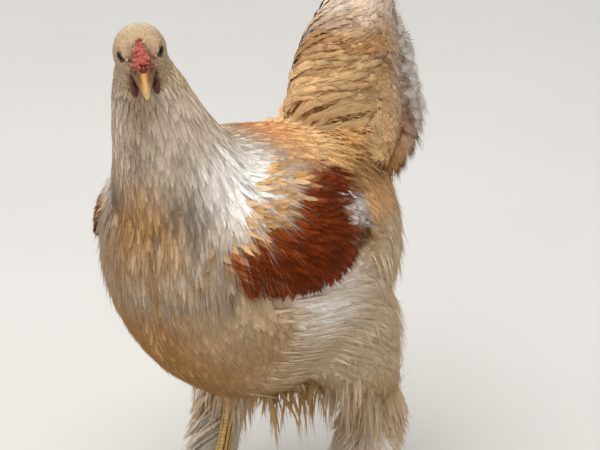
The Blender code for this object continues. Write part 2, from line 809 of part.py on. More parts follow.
# Coverts over the front of the tail: distance from the middle, rise in degrees, length.
TAIL_FRONT = [
    (-0.014, 66, 0.150),
    (0.014, 66, 0.150),
    (-0.030, 68, 0.104),
    (0.0, 70, 0.112),
    (0.030, 68, 0.104),
]
# Feathers under its rear, between the fans: rise in degrees, length.
TAIL_UNDER = [(0, 0.104), (-32, 0.070)]
# Saddle rows on the back: y of the roots, count, length, half width.
SADDLE_ROWS = [(0.012, 3, 0.052, 0.0185), (0.046, 4, 0.056, 0.0180), (0.080, 5, 0.056, 0.0170)]


def tail_feathers():
    """Two fans of main feathers, set like the sides of a steep roof, under tiers of coverts."""
    draw = random.Random(5)
    fan = Vector((0, *TAIL_FAN))
    made = []
    for tier, row in enumerate(TAIL_TIERS):
        count, steep, flat, near, far, low, top_x, low_x, root_x, half_width, curl = row
        for k in range(count):
            share = (k + 0.3 * (tier % 2)) / (count - 0.7)
            rise = math.radians(steep + (flat - steep) * share + draw.uniform(-2, 2))
            ahead = Vector((0, math.cos(rise), math.sin(rise)))
            reach = (far + (low - far) * share) * draw.uniform(0.96, 1.04) - near
            for side in (1, -1):
                root = fan + ahead * near + Vector((side * root_x, 0, 0))
                bow = Vector((side * (top_x + (low_x - top_x) * share - root_x), 0, 0))
                hang = Vector((side * 0.2, 0.3, -1.0)) * curl * reach * 0.5
                handles = [root, root + ahead * reach * 0.4 + bow * 0.5, root + ahead * reach * 0.8 + bow]
                line = bend([*handles, root + ahead * reach + bow + hang], 3)
                over = Vector((0, -ahead.z, ahead.y))
                out = Vector((side, 0, 0)) + over * (0.7 - 0.9 * share)
                made.append(feather(line, [out] * len(line), half_width, BROAD, 0.18 * side))
    for x, rise, reach in TAIL_FRONT:
        rise = math.radians(rise)
        ahead = Vector((0, math.cos(rise), math.sin(rise)))
        over = Vector((0, -ahead.z, ahead.y))
        root = fan + over * 0.022 + ahead * 0.012 + Vector((x * 0.8, 0, 0))
        tip = root + ahead * reach + Vector((x * 0.2, 0, 0)) - over * 0.01
        line = bend([root, root + ahead * reach * 0.4 + over * 0.006, tip - ahead * reach * 0.2, tip], 3)
        made.append(feather(line, [over + Vector((x * 20, 0, 0))] * 4, 0.0180, BROAD))
    for rise, reach in TAIL_UNDER:
        rise = math.radians(rise)
        ahead = Vector((0, math.cos(rise), math.sin(rise)))
        under = Vector((0, ahead.z, -ahead.y))
        root = fan + ahead * 0.02 + under * 0.022
        handles = [root, root + ahead * reach * 0.4 + under * 0.01, root + ahead * reach * 0.8]
        line = bend([*handles, root + ahead * reach], 3)
        made.append(feather(line, [under] * 4, 0.0180, BROAD))
    return made


def saddle_feathers(tree):
    """Rows of long feathers over the back, running back and down the sides."""
    draw = random.Random(3)
    made = []
    for row, (y, count, length, half_width) in enumerate(SADDLE_ROWS):
        for k in range(count):
            share = 2 * (k + 0.5) / count - 1
            angle = math.radians((44 + 5 * row) * share)
            top, bottom, wide, widest = spline(TORSO, y)
            height = widest + (top - widest) * math.cos(angle)
            start = Vector((wide * math.sin(angle), y + 0.006 * abs(share), height))
            heading = Vector((0.35 * share, 1, -0.1))
            pull = Vector((0.06 * share, 0, -0.10 * abs(share)))
            reach = length * draw.uniform(0.92, 1.08)
            line, ups = drape(tree, start, heading, reach, 3, 0.0035, pull)
            made.append(feather(line, ups, half_width, LANCE, SHINGLE if share > 0 else -SHINGLE))
    return made


def tail_core(name, grow=0.0, material=None):
    path, radii = [], []
    for r in range(7):
        y, z, wide, deep = rows_at(TAIL_CORE, r / 6)
        path.append((0, y, z))
        radii.append((wide, deep))
    tip = Vector(path[-1]) + Vector((0, 0.004, 0.005 + grow))
    return tube(name, path, radii, (1, 0, 0), 12, None, tip, material, grow=grow)


def tail(material):
    """The tail: its core, the main feathers and the coverts."""
    made = union(tail_core("tail", material=material), tail_feathers())
    cut(made, wing_core("cutter", 1, 0.002), wing_core("cutter", -1, 0.002))
    return cut(made, torso_core("cutter", GAP))


def saddle(material, neighbours):
    """A low cushion on the back with its rows of feathers, clear of the feathers round it."""
    made = torso_core("saddle", SADDLE[0], material)
    boolean(made, ball("bounds", Vector(SADDLE[1]), SADDLE[2], 24, 14), "INTERSECT")
    union(made, saddle_feathers(surface(made, tail_core("ground", 0.001), *grounds(0.004))))
    return cut(made, torso_core("cutter", GAP), *[swollen(obj, CLEAR_OF_VANES) for obj in neighbours])


# Shank feathers: rows down the outer side, as places along the shank, and turns round it in degrees.
SHANK_ROWS = [0.04, 0.25, 0.46, 0.67]
SHANK_TURNS = [10, 62]


def shank_feathers(leg, side):
    """The feathering down a shank's outer side."""
    draw = random.Random(13)
    hock, at = Vector(leg["hock"]), Vector(leg["foot"])
    made = []
    for row, place in enumerate(SHANK_ROWS):
        for column, turn in enumerate(SHANK_TURNS):
            t = place + 0.06 * column
            angle = math.radians(turn + draw.uniform(-6, 6))
            out = Vector((side * math.cos(angle), math.sin(angle), 0))
            root = hock.lerp(at, t) + out * 0.005
            drop = 0.046 * draw.uniform(0.9, 1.1)
            low = Vector((0, 0, -min(drop, root.z - 0.034)))
            spread = out * (0.026 + 0.006 * t)
            handles = [root, root + out * 0.012 + low * 0.1, root + spread * 0.8 + low * 0.5]
            line = bend([*handles, root + spread + low], 3)
            facing = (out * 0.5 + Vector((side * 0.2, -0.9, 0.3))).normalized()
            made.append(feather(line, [facing] * 4, 0.0105, LANCE))
    return made


def foot_feathers(leg, side):
    """Feathers on the outer sides of the outer and middle toes, lying out over the floor."""
    draw = random.Random(17)
    made = []
    for toe, heading, length in TOES[1:3]:
        path, ahead = toe_path(leg, side, heading, length)
        across = ahead.cross(Vector((0, 0, 1)))
        out = across if across.x * side > 0 else -across
        count = 2 if toe == "middle" else 4
        for k in range(count):
            t = 0.12 + 0.68 * k / (count - 1)
            at = path[0].lerp(path[-1], t)
            root = Vector((at.x, at.y, 0.0065)) + out * 0.002
            away = (out + ahead * draw.uniform(0.35, 0.7)).normalized()
            reach = 0.036 * draw.uniform(0.85, 1.1) * (1.1 - 0.35 * t)
            rise = Vector((0, 0, 0.006 + 0.002 * (k % 2)))
            handles = [root, root + away * reach * 0.3 + rise, root + away * reach * 0.7 + rise]
            line = bend([*handles, root + away * reach], 2)
            line[-1].z = 0.004
            made.append(feather(line, [Vector((0, 0, 1))] * 3, 0.0080, LANCE))
    return made


def build():
    clear_scene()
    buff = finish("buff feather", "B99468", 0.85)
    cream = finish("cream feather", "D9C9B0", 0.85)
    gold = finish("gold feather", "B8793F", 0.8)
    rust = finish("chestnut feather", "7A3413", 0.8)
    flesh = finish("red skin", "B04A45", 0.6)
    dark_flesh = finish("dark red skin", "6A2A22", 0.6)
    horn = finish("yellow horn", "D9A75A", 0.45)
    scale = finish("yellow scale", "B08A3E", 0.55)
    iris = finish("eye", "3A1D10", 0.15)

    torso_core("torso", material=buff)
    wings = [wing(f"wing_{word}", side, rust) for side, word in ((1, "left"), (-1, "right"))]
    hackle = neck(cream, wings)
    head(cream)
    upper_bill(horn)
    cut(bill("beak_lower", BILL_LOWER, material=horn), bill("cutter", BILL_UPPER, GAP))
    cut(comb("comb", flesh), head_core("cutter", GAP), bill("cutter", BILL_UPPER, GAP))
    for side, word in ((1, "left"), (-1, "right")):
        eye(f"eye_{word}", side, material=iris)
        drop = wattle(f"wattle_{word}", side, material=dark_flesh)
        cut(drop, head_core("cutter", GAP))
        cut(drop, bill("cutter", BILL_LOWER, GAP), bill("cutter", BILL_UPPER, GAP))
        leg = LEGS[word]
        cut(thigh(f"thigh_{word}", leg, material=cream), torso_core("cutter", GAP))
        lower = union(shank(f"shank_{word}", leg, material=scale), shank_feathers(leg, side))
        cut(lower, thigh("cutter", leg, GAP))
        sole = union(foot(f"foot_{word}", leg, side, scale), foot_feathers(leg, side))
        cut(sole, block("floor", (-1, -1, -1), (1, 1, 0)), shank("cutter", leg, GAP))
        for toe, heading, length in TOES:
            claw(f"claw_{toe}_{word}", leg, side, heading, length, material=horn)
            cut(sole, claw("cutter", leg, side, heading, length, GAP))
    saddle(gold, [tail(gold), hackle, *wings])
    for obj in bpy.data.objects:
        obj.data.transform(Matrix.Translation(-STANCE_SHIFT))


build()
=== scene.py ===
# %% [markdown]
# # A Brahma cockerel, feather by feather
#
# A Brahma is a large, soft-feathered hen breed with a heavy brow, a small three-rowed pea comb, a cushion
# of feather over the tail's root and feathered shanks. This one is a young cockerel that stands and looks
# to its left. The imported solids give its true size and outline, and this file dresses them: one skin
# under the coat, thousands of small closed feathers on it, and horn, scales, comb and eyes made finely.
#
# The solids load first, because every measure below comes from them.

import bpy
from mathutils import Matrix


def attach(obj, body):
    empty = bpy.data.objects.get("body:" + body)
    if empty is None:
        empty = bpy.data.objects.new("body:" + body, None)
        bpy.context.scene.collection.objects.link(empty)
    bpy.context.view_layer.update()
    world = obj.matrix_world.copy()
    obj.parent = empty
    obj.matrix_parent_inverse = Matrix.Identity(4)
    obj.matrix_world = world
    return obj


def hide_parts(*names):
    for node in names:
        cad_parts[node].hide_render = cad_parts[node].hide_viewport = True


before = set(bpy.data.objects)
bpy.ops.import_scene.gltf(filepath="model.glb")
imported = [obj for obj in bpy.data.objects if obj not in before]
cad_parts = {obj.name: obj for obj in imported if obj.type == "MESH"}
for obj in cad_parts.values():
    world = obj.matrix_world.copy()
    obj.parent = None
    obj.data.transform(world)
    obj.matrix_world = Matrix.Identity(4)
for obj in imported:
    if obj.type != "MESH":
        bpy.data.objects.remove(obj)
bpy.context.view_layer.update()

# %% [markdown]
# ## The camera, the floor and the light
#
# The camera looks down at the bird from its left front through a long lens, as a person with a telephoto
# would from a few steps away. A long lens keeps the head and the tail in true proportion. The day is
# overcast in such a picture, so the studio copies a bright sky: a pale world and one large soft lamp high
# on the bird's left, which leaves broad soft shade below the breast and the tail.

# %% Camera
import math

import bpy
from mathutils import Matrix, Vector

SENSOR = 36.0
LENS = 110.4
CAMERA_TURN = math.radians(40)
CAMERA_RISE = math.radians(26)
CAMERA_FAR = 1.8
LOOKED_AT = Vector((0.06, -0.0293, 0.37))


def add_object(name, data):
    made = bpy.data.objects.new(name, data)
    bpy.context.scene.collection.objects.link(made)
    return made


def place_camera():
    """The camera on its ray from the middle of the bird."""
    level = math.cos(CAMERA_RISE)
    back = Vector((math.sin(CAMERA_TURN) * level, -math.cos(CAMERA_TURN) * level, math.sin(CAMERA_RISE)))
    camera = add_object("camera", bpy.data.cameras.new("camera"))
    camera.data.sensor_width = SENSOR
    camera.data.lens = LENS
    camera.location = LOOKED_AT + back * CAMERA_FAR
    camera.rotation_euler = (-back).to_track_quat("-Z", "Y").to_euler()
    bpy.context.scene.camera = camera
    return camera


camera = place_camera()
print("camera at", [round(c, 3) for c in camera.location])

# %% Colours and shader nodes
def linear(hex_colour):
    """An sRGB colour such as D9C9B0 as linear red, green and blue."""
    parts = [int(hex_colour[i : i + 2], 16) / 255 for i in (0, 2, 4)]
    return [p / 12.92 if p <= 0.04045 else ((p + 0.055) / 1.055) ** 2.4 for p in parts]


def add_node(tree, kind, values=(), links=(), **settings):
    """Adds a node, sets its fields and its inputs by number or name, and links outputs into it."""
    node = tree.nodes.new(kind)
    for field, value in settings.items():
        setattr(node, field, value)
    for socket, value in dict(values).items():
        node.inputs[socket].default_value = value
    for socket, output in dict(links).items():
        tree.links.new(output, node.inputs[socket])
    return node


def new_material(name, roughness=0.6, **sockets):
    """A Principled material with its fixed values, its tree and its shader node."""
    made = bpy.data.materials.new(name)
    made.use_nodes = True
    shader = made.node_tree.nodes["Principled BSDF"]
    shader.inputs["Roughness"].default_value = roughness
    for socket, value in sockets.items():
        shader.inputs[socket.replace("_", " ")].default_value = value
    return made, made.node_tree, shader


# %% Floor, sky and lamp
FLOOR_SIZE = 8.0
SKY_STRENGTH = 0.80
LAMP_AT = Vector((-0.1, -0.7, 2.7))
LAMP_SIZE = 2.2
LAMP_POWER = 52.0


def pale_floor():
    """A matt studio floor with a faint mottle."""
    made, tree, shader = new_material("painted_studio_floor", 0.85)
    place = add_node(tree, "ShaderNodeTexCoord")
    mottle = add_node(tree, "ShaderNodeTexNoise", {"Scale": 3.0, "Detail": 4.0},
                      {"Vector": place.outputs["Object"]})
    tint = add_node(tree, "ShaderNodeMix", {6: (*linear("D6D4D0"), 1), 7: (*linear("DEDCD8"), 1)},
                    {0: mottle.outputs["Fac"]}, data_type="RGBA")
    tree.links.new(tint.outputs[2], shader.inputs["Base Color"])
    return made


def studio():
    half = FLOOR_SIZE / 2
    mesh = bpy.data.meshes.new("floor")
    mesh.from_pydata([(-half, -half, 0), (half, -half, 0), (half, half, 0), (-half, half, 0)], [],
                     [(0, 1, 2, 3)])
    mesh.materials.append(pale_floor())
    floor = add_object("floor", mesh)
    world = bpy.data.worlds.new("overcast")
    world.use_nodes = True
    world.node_tree.nodes["Background"].inputs["Color"].default_value = (*linear("F3F2F0"), 1)
    world.node_tree.nodes["Background"].inputs["Strength"].default_value = SKY_STRENGTH
    bpy.context.scene.world = world
    lamp = add_object("softbox", bpy.data.lights.new("softbox", "AREA"))
    lamp.data.size = LAMP_SIZE
    lamp.data.energy = LAMP_POWER
    lamp.location = LAMP_AT
    lamp.rotation_euler = (LAMP_AT - LOOKED_AT).to_track_quat("Z", "Y").to_euler()
    bpy.context.scene.view_settings.view_transform = "Standard"
    return floor


studio()
print("sky", SKY_STRENGTH, "lamp", LAMP_POWER, "watts")

# %% [markdown]
# ## The bird's own forms
#
# A feathered bird is a few simple masses: an egg-shaped body, a neck that widens into it, a short head,
# two drumsticks and a wing folded on each side. Each is described by a few sections, the same ones as in
# the solids, and read on a smooth curve between them. All forms are set in the bird's own frame, and the
# last step of each piece moves it by the stance, so that the bird stands over the frame's origin.

# %% Sections of the body
import numpy as np

STANCE = Vector((0.0, -0.0293, 0.0))

# y, top, bottom, half width, height of the widest place.
TORSO = [
    (-0.158, 0.402, 0.324, 0.036, 0.364),
    (-0.146, 0.430, 0.282, 0.063, 0.356),
    (-0.125, 0.451, 0.243, 0.084, 0.346),
    (-0.095, 0.464, 0.210, 0.099, 0.336),
    (-0.055, 0.467, 0.185, 0.109, 0.326),
    (-0.010, 0.458, 0.174, 0.113, 0.318),
    (0.035, 0.446, 0.173, 0.111, 0.312),
    (0.075, 0.434, 0.181, 0.104, 0.308),
    (0.112, 0.420, 0.201, 0.091, 0.308),
    (0.142, 0.402, 0.232, 0.073, 0.312),
    (0.160, 0.376, 0.270, 0.048, 0.318),
]
TORSO_ENDS = ((0.0, -0.164, 0.364), (0.0, 0.168, 0.322))
# y, z, half width, half depth, from inside the breast up to the nape.
NECK = [
    (-0.085, 0.395, 0.080, 0.068),
    (-0.104, 0.440, 0.067, 0.059),
    (-0.120, 0.482, 0.050, 0.047),
    (-0.132, 0.518, 0.038, 0.038),
    (-0.139, 0.546, 0.029, 0.030),
    (-0.141, 0.564, 0.022, 0.023),
]
NECK_LEAN = -0.006
# The head in its own frame: y, top, bottom, half width, height of the widest place.
HEAD = [
    (0.030, 0.0085, -0.0220, 0.0165, -0.006),
    (0.018, 0.0150, -0.0280, 0.0215, -0.006),
    (0.005, 0.0178, -0.0310, 0.0228, -0.005),
    (-0.007, 0.0168, -0.0290, 0.0205, -0.004),
    (-0.016, 0.0135, -0.0250, 0.0165, -0.004),
    (-0.024, 0.0080, -0.0200, 0.0115, -0.005),
    (-0.030, 0.0015, -0.0140, 0.0070, -0.005),
]
HEAD_ENDS = ((0.0, 0.035, -0.007), (0.0, -0.033, -0.006))
HEAD_FRAME = (
    Matrix.Translation((0.001, -0.151, 0.578))
    @ Matrix.Rotation(math.radians(50), 4, "Z")
    @ Matrix.Rotation(math.radians(20), 4, "X")
    @ Matrix.Rotation(math.radians(-6), 4, "Y")
)
LEGS = {
    "right": {"hip": (-0.058, 0.010, 0.270), "hock": (-0.060, 0.036, 0.136),
              "foot": (-0.062, 0.004, 0.020), "turn": 8},
    "left": {"hip": (0.058, 0.040, 0.270), "hock": (0.076, 0.114, 0.143),
             "foot": (0.078, 0.074, 0.020), "turn": -10},
}
SIDES = {"left": 1, "right": -1}
# Place along the limb, half width, half depth.
THIGH = [(-0.02, 0.054, 0.066), (0.25, 0.052, 0.064), (0.55, 0.042, 0.052), (0.82, 0.028, 0.034),
         (1.0, 0.018, 0.021)]
SHANK = [(0.0, 0.0095, 0.0115), (0.12, 0.0105, 0.0125), (0.35, 0.0072, 0.0088), (0.75, 0.0072, 0.0084),
         (1.0, 0.0092, 0.0100)]
# Folded wing: y, lower edge, upper edge, thickness, from the shoulder to the tip.
WING = [
    (-0.128, 0.372, 0.400, 0.004),
    (-0.118, 0.356, 0.422, 0.009),
    (-0.098, 0.346, 0.440, 0.012),
    (-0.062, 0.340, 0.447, 0.013),
    (-0.026, 0.338, 0.444, 0.012),
    (0.002, 0.342, 0.436, 0.009),
    (0.022, 0.352, 0.426, 0.006),
    (0.036, 0.366, 0.410, 0.003),
]
# Tail cushion: y, z, half width, half depth.
TAIL_CORE = [
    (0.085, 0.385, 0.042, 0.040),
    (0.120, 0.420, 0.042, 0.040),
    (0.146, 0.446, 0.034, 0.034),
    (0.164, 0.466, 0.022, 0.024),
    (0.174, 0.478, 0.010, 0.012),
]

# %% Smooth curves and rings of sections
def curve(keys, at):
    """Rows of keys read at places along their first column, on a smooth curve through them."""
    keys = np.array(keys, float)
    keys = keys[np.argsort(keys[:, 0])]
    x = keys[:, 0]
    at = np.asarray(at, float)
    i = np.clip(np.searchsorted(x, at) - 1, 0, len(x) - 2)
    slope = np.gradient(keys[:, 1:], x, axis=0)
    span = (x[i + 1] - x[i])[..., None]
    t = (at - x[i])[..., None] / span
    start = (2 * t**3 - 3 * t**2 + 1) * keys[i, 1:] + (t**3 - 2 * t**2 + t) * slope[i] * span
    return start + (3 * t**2 - 2 * t**3) * keys[i + 1, 1:] + (t**3 - t**2) * slope[i + 1] * span


def along_rows(keys, t):
    """Rows without a first column of places, read at t from 0 to 1 along them."""
    return curve([(i, *row) for i, row in enumerate(keys)], (len(keys) - 1) * np.asarray(t, float))


def unit(vectors):
    return vectors / np.maximum(np.linalg.norm(vectors, axis=-1, keepdims=True), 1e-12)


def moved(points, matrix):
    """Points carried by a 4 x 4 matrix."""
    m = np.array(matrix)
    return np.asarray(points, float) @ m[:3, :3].T + m[:3, 3]


def egg_rings(stations, ends, sides, rings, grow=0.0, carried=None):
    """Rings of egg-shaped sections from one end of a body to the other, each end a ring of one point."""
    first, last = stations[0][0], stations[-1][0]
    t = 0.5 - 0.5 * np.cos(np.pi * np.linspace(0, 1, rings))
    y = first + (last - first) * t
    top, bottom, wide, widest = curve(stations, y).T[:, :, None]
    angle = 2 * np.pi * (np.arange(sides) + 0.5) / sides
    c, s = np.cos(angle)[None], np.sin(angle)[None]
    tall = np.where(s > 0, top - widest, widest - bottom)
    pushed = y + grow * math.copysign(1, last - first) * (2 * t - 1)
    grid = np.stack([(wide + grow) * c, np.repeat(pushed[:, None], sides, 1),
                     widest + (tall + grow) * s], -1)
    push = np.array((0.0, grow * math.copysign(1, last - first), 0.0))
    caps = [
        np.repeat((np.array(end) + way * push)[None, None], sides, 1)
        for end, way in zip(ends, (-1, 1))
    ]
    grid = np.concatenate([caps[0], grid, caps[1]])
    return moved(grid, carried) if carried is not None else grid


def limb_rings(path, radii, side, sides, grow=0.0, start=None, end=None, carried=None):
    """Rings of elliptical sections square to a path. side is the way in which the first radius lies."""
    path, radii = np.array(path, float), np.array(radii, float)
    ahead = unit(np.gradient(path, axis=0))
    side = np.array(side, float)
    across = unit(side - ahead * (ahead @ side)[:, None])
    up = np.cross(across, ahead)
    angle = 2 * np.pi * np.arange(sides) / sides
    wide, deep = (radii[:, 0] + grow)[:, None, None], (radii[:, 1] + grow)[:, None, None]
    c, s = np.cos(angle)[None, :, None], np.sin(angle)[None, :, None]
    wheel = across[:, None] * c * wide + up[:, None] * s * deep
    grid = [path[:, None] + wheel]
    if start is not None:
        grid.insert(0, np.repeat(np.array(start, float)[None, None], sides, 1))
    if end is not None:
        grid.append(np.repeat(np.array(end, float)[None, None], sides, 1))
    grid = np.concatenate(grid)
    return moved(grid, carried) if carried is not None else grid


# %% The forms themselves
def torso_rings(grow=0.0, sides=64, rings=44):
    return egg_rings(TORSO, TORSO_ENDS, sides, rings, grow)


def neck_rings(grow=0.0, sides=48, rings=28):
    t = np.linspace(0, 1, rings)
    y, z, wide, deep = along_rows(NECK, t).T
    path = np.stack([NECK_LEAN * t, y, z], -1)
    top = path[-1] + np.array((0.0, -0.002, 0.010 + grow))
    return limb_rings(path, np.stack([wide, deep], -1), (1, 0, 0), sides, grow, None, top)


def head_rings(grow=0.0, sides=48, rings=30):
    return egg_rings(HEAD, HEAD_ENDS, sides, rings, grow, HEAD_FRAME)


def thigh_rings(leg, grow=0.0, sides=36, rings=20):
    hip, hock = np.array(leg["hip"]), np.array(leg["hock"])
    t = np.linspace(-0.02, 1, rings)[:, None]
    ahead = unit(hock - hip)
    ends = (hip - ahead * 0.02, hock + ahead * (0.006 + grow))
    return limb_rings(hip + (hock - hip) * t, curve(THIGH, t[:, 0]), (1, 0, 0), sides, grow, *ends)


def tail_rings(grow=0.0, sides=32, rings=14):
    y, z, wide, deep = along_rows(TAIL_CORE, np.linspace(0, 1, rings)).T
    path = np.stack([y * 0, y, z], -1)
    tip = path[-1] + np.array((0.0, 0.004, 0.005 + grow))
    return limb_rings(path, np.stack([wide, deep], -1), (1, 0, 0), sides, grow, None, tip)


def on_torso(y, z, side):
    """Points on the torso's side at these y and heights, and the ways out there."""
    y, z = np.asarray(y, float), np.asarray(z, float)

    def level(x, y, z):
        top, bottom, wide, widest = np.moveaxis(curve(TORSO, y), -1, 0)
        tall = np.where(z > widest, top - widest, widest - bottom)
        return np.hypot(x / wide, (z - widest) / tall)

    top, bottom, wide, widest = np.moveaxis(curve(TORSO, y), -1, 0)
    tall = np.where(z > widest, top - widest, widest - bottom)
    share = np.minimum(np.abs(z - widest) / tall, 0.98)
    x = side * wide * np.sqrt(1 - share**2)
    e = 0.001
    slopes = [
        level(x + e, y, z) - level(x - e, y, z),
        level(x, y + e, z) - level(x, y - e, z),
        level(x, y, z + e) - level(x, y, z - e),
    ]
    return np.stack([x, y, z], -1), unit(np.stack(slopes, -1))


def wing_rings(side, grow=0.0, rings=28, upward=14):
    """The folded wing's cushion on the body's side, each ring up its outer face and down its inner one."""
    t = np.linspace(0, 1, rings)[:, None]
    u = np.linspace(0, 1, upward)[None]
    y = WING[0][0] + (WING[-1][0] - WING[0][0]) * t
    low, high, thick = np.moveaxis(curve(WING, y[:, 0]), -1, 0)[:, :, None]
    at, out = on_torso((y + grow * (2 * t - 1)) + 0 * u, low - grow + (high - low + 2 * grow) * u, side)
    swell = 0.001 + thick * np.sqrt(1 - (2 * u - 1) ** 4) + grow
    outer, inner = at + out * swell[..., None], at - out * 0.003
    return np.concatenate([outer, inner[:, ::-1]], 1)


print("torso rings", torso_rings().shape, "neck rings", neck_rings().shape)

# %% [markdown]
# ## From rings to meshes
#
# A ring form becomes a closed mesh by joining each ring to the next. Several of them, overlapping, become
# one smooth surface when they are remeshed into small cubes of space and smoothed: this is how the skin is
# made without a seam, and also the guide, an unseen surface a little above it on which feathers lie.

# %% Meshes from rings and the one surface over several forms
import bmesh
from mathutils.bvhtree import BVHTree


def quick_mesh(name, points, triangles, materials=()):
    """A mesh object from arrays of points and triangles."""
    mesh = bpy.data.meshes.new(name)
    points, triangles = np.asarray(points, np.float32), np.asarray(triangles, np.int32)
    mesh.vertices.add(len(points))
    mesh.vertices.foreach_set("co", points.ravel())
    mesh.loops.add(triangles.size)
    mesh.loops.foreach_set("vertex_index", triangles.ravel())
    mesh.polygons.add(len(triangles))
    mesh.polygons.foreach_set("loop_start", np.arange(0, triangles.size, 3, dtype=np.int32))
    mesh.update(calc_edges=True)
    for material in materials:
        mesh.materials.append(material)
    mesh.shade_smooth()
    return add_object(name, mesh)


def ring_mesh(name, grid, material=None):
    """A closed mesh over a grid of rings. A ring of one point closes to a tip, another to a flat cap."""
    mesh = bpy.data.meshes.new(name)
    bm = bmesh.new()
    rings = [[bm.verts.new(p) for p in ring] for ring in grid.tolist()]
    for low, high in zip(rings, rings[1:]):
        for k in range(len(low)):
            n = (k + 1) % len(low)
            bm.faces.new((low[k], low[n], high[n], high[k]))
    for ring in (rings[0], rings[-1]):
        if (ring[0].co - ring[len(ring) // 2].co).length > 1e-6:
            bm.faces.new(ring)
    bmesh.ops.remove_doubles(bm, verts=bm.verts, dist=1e-6)
    bmesh.ops.recalc_face_normals(bm, faces=bm.faces)
    bm.to_mesh(mesh)
    bm.free()
    if material:
        mesh.materials.append(material)
    mesh.shade_smooth()
    return add_object(name, mesh)


def apply_modifiers(obj):
    """Replaces an object's mesh by the result of its modifiers, and removes them."""
    bpy.context.view_layer.update()
    graph = bpy.context.evaluated_depsgraph_get()
    made = bpy.data.meshes.new_from_object(obj.evaluated_get(graph), depsgraph=graph)
    obj.modifiers.clear()
    obj.data = made
    return obj


def join(name, pieces):
    """One object from several, which are removed."""
    bm = bmesh.new()
    for piece in pieces:
        bm.from_mesh(piece.data)
        bpy.data.objects.remove(piece, do_unlink=True)
    mesh = bpy.data.meshes.new(name)
    bm.to_mesh(mesh)
    bm.free()
    return add_object(name, mesh)


def one_surface(name, pieces, cube, smoothing, material=None):
    """One closed skin over overlapping pieces, rebuilt in cubes of that size and smoothed."""
    made = join(name, pieces)
    remesh = made.modifiers.new("remesh", "REMESH")
    remesh.mode = "VOXEL"
    remesh.voxel_size = cube
    smooth = made.modifiers.new("smooth", "SMOOTH")
    smooth.iterations = smoothing
    apply_modifiers(made)
    bm = bmesh.new()
    bm.from_mesh(made.data)
    bmesh.ops.triangulate(bm, faces=bm.faces)
    bm.to_mesh(made.data)
    bm.free()
    if material:
        made.data.materials.append(material)
    made.data.shade_smooth()
    return made


def points_of(obj):
    flat = np.empty(len(obj.data.vertices) * 3, np.float32)
    obj.data.vertices.foreach_get("co", flat)
    return flat.reshape(-1, 3).astype(float)


def tree_of(obj):
    """A search tree over an object's triangles."""
    return BVHTree.FromPolygons(points_of(obj).tolist(), [list(f.vertices) for f in obj.data.polygons])


def finish_piece(obj, slot, *nodes):
    """Moves a piece from the bird's frame to its stance and hands it to the frame."""
    obj.data.transform(Matrix.Translation(STANCE))
    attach(obj, "root")
    if nodes:
        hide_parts(*nodes)
    obj.data.calc_loop_triangles()
    print(obj.name, len(obj.data.loop_triangles), "triangles")
    return obj

# %% [markdown]
# ## The markings
#
# The plumage is cream and buff with a white shoulder, a golden back and a chestnut wing bay. Feathers and
# the skin under them ask the same function for their colour at a place, so that no wrong colour shows
# through. Each marking is a soft-edged patch with a centre, a size and one plain colour, painted over the
# ones before it, and both sides of the bird are alike. A few patches are painted light and shade instead
# of markings, such as a highlight on the flank and shade in the hollows of the tail.

# %% Plumage colours and patches
PLUMAGE = {
    "buff": "C69A66",
    "deep_buff": "A67E50",
    "flank": "B8956A",
    "belly": "A98653",
    "cream": "DECBAE",
    "crown": "BEA682",
    "brow": "BE9E80",
    "pale_cream": "E6D0A8",
    "grey_cream": "D1C0AC",
    "throat": "9C7F62",
    "smoke": "6F625B",
    "white": "FFFBF5",
    "blush": "EBDACD",
    "gold": "E6B274",
    "tail_gold": "BF8C56",
    "pale_gold": "EDC794",
    "orange": "F2BC86",
    "chestnut": "913C08",
    "dark_chestnut": "5A2408",
    "umber": "6B4525",
    # White greyed as it looks in shade: a painted shade of white.
    "white_in_shade": "B9AFA6",
    "cheek": "AE957C",
    "pink": "C48F7C",
    "olive": "7A5228",
    "red": "A5453C",
    "dark_red": "56211A",
}
INK = {name: np.array(linear(code)) for name, code in PLUMAGE.items()}

# Colour, centre on the left side, reach along x, y and z, strength.
BODY_PATCHES = [
    ("flank", (0.10, -0.03, 0.32), (0.08, 0.09, 0.10), 0.8),
    ("belly", (0.0, -0.04, 0.20), (0.16, 0.20, 0.06), 0.8),
    ("deep_buff", (0.0, -0.16, 0.34), (0.07, 0.05, 0.05), 0.15),
    ("cream", (0.10, -0.10, 0.35), (0.04, 0.05, 0.05), 0.5),
    ("cream", (0.10, 0.0, 0.245), (0.07, 0.09, 0.055), 0.9),
    ("cream", (0.08, 0.11, 0.29), (0.09, 0.08, 0.11), 1.0),
    ("cream", (0.0, 0.17, 0.30), (0.09, 0.06, 0.10), 0.8),
    ("flank", (0.10, -0.095, 0.300), (0.04, 0.035, 0.04), 0.6),
    # Painted highlight: a pale streak of light down the flank behind the wing.
    ("blush", (0.115, -0.012, 0.315), (0.06, 0.048, 0.038), 1.0),
    ("white", (0.115, -0.028, 0.304), (0.05, 0.034, 0.034), 0.9),
    ("cream", (0.075, -0.150, 0.330), (0.04, 0.05, 0.05), 0.45),
    ("olive", (0.101, 0.040, 0.358), (0.03, 0.016, 0.012), 0.9),
    ("white", (0.094, 0.032, 0.384), (0.03, 0.018, 0.014), 0.9),
    ("white", (0.078, -0.088, 0.446), (0.05, 0.045, 0.034), 1.0),
    ("white", (0.050, -0.060, 0.466), (0.04, 0.045, 0.026), 1.0),
    ("orange", (0.0, 0.040, 0.455), (0.07, 0.065, 0.040), 1.0),
    ("gold", (0.06, 0.050, 0.430), (0.04, 0.060, 0.030), 0.9),
]


def plain(name, count):
    """One of the plumage colours for each of count feathers."""
    return np.repeat(INK[name][None], count, 0)


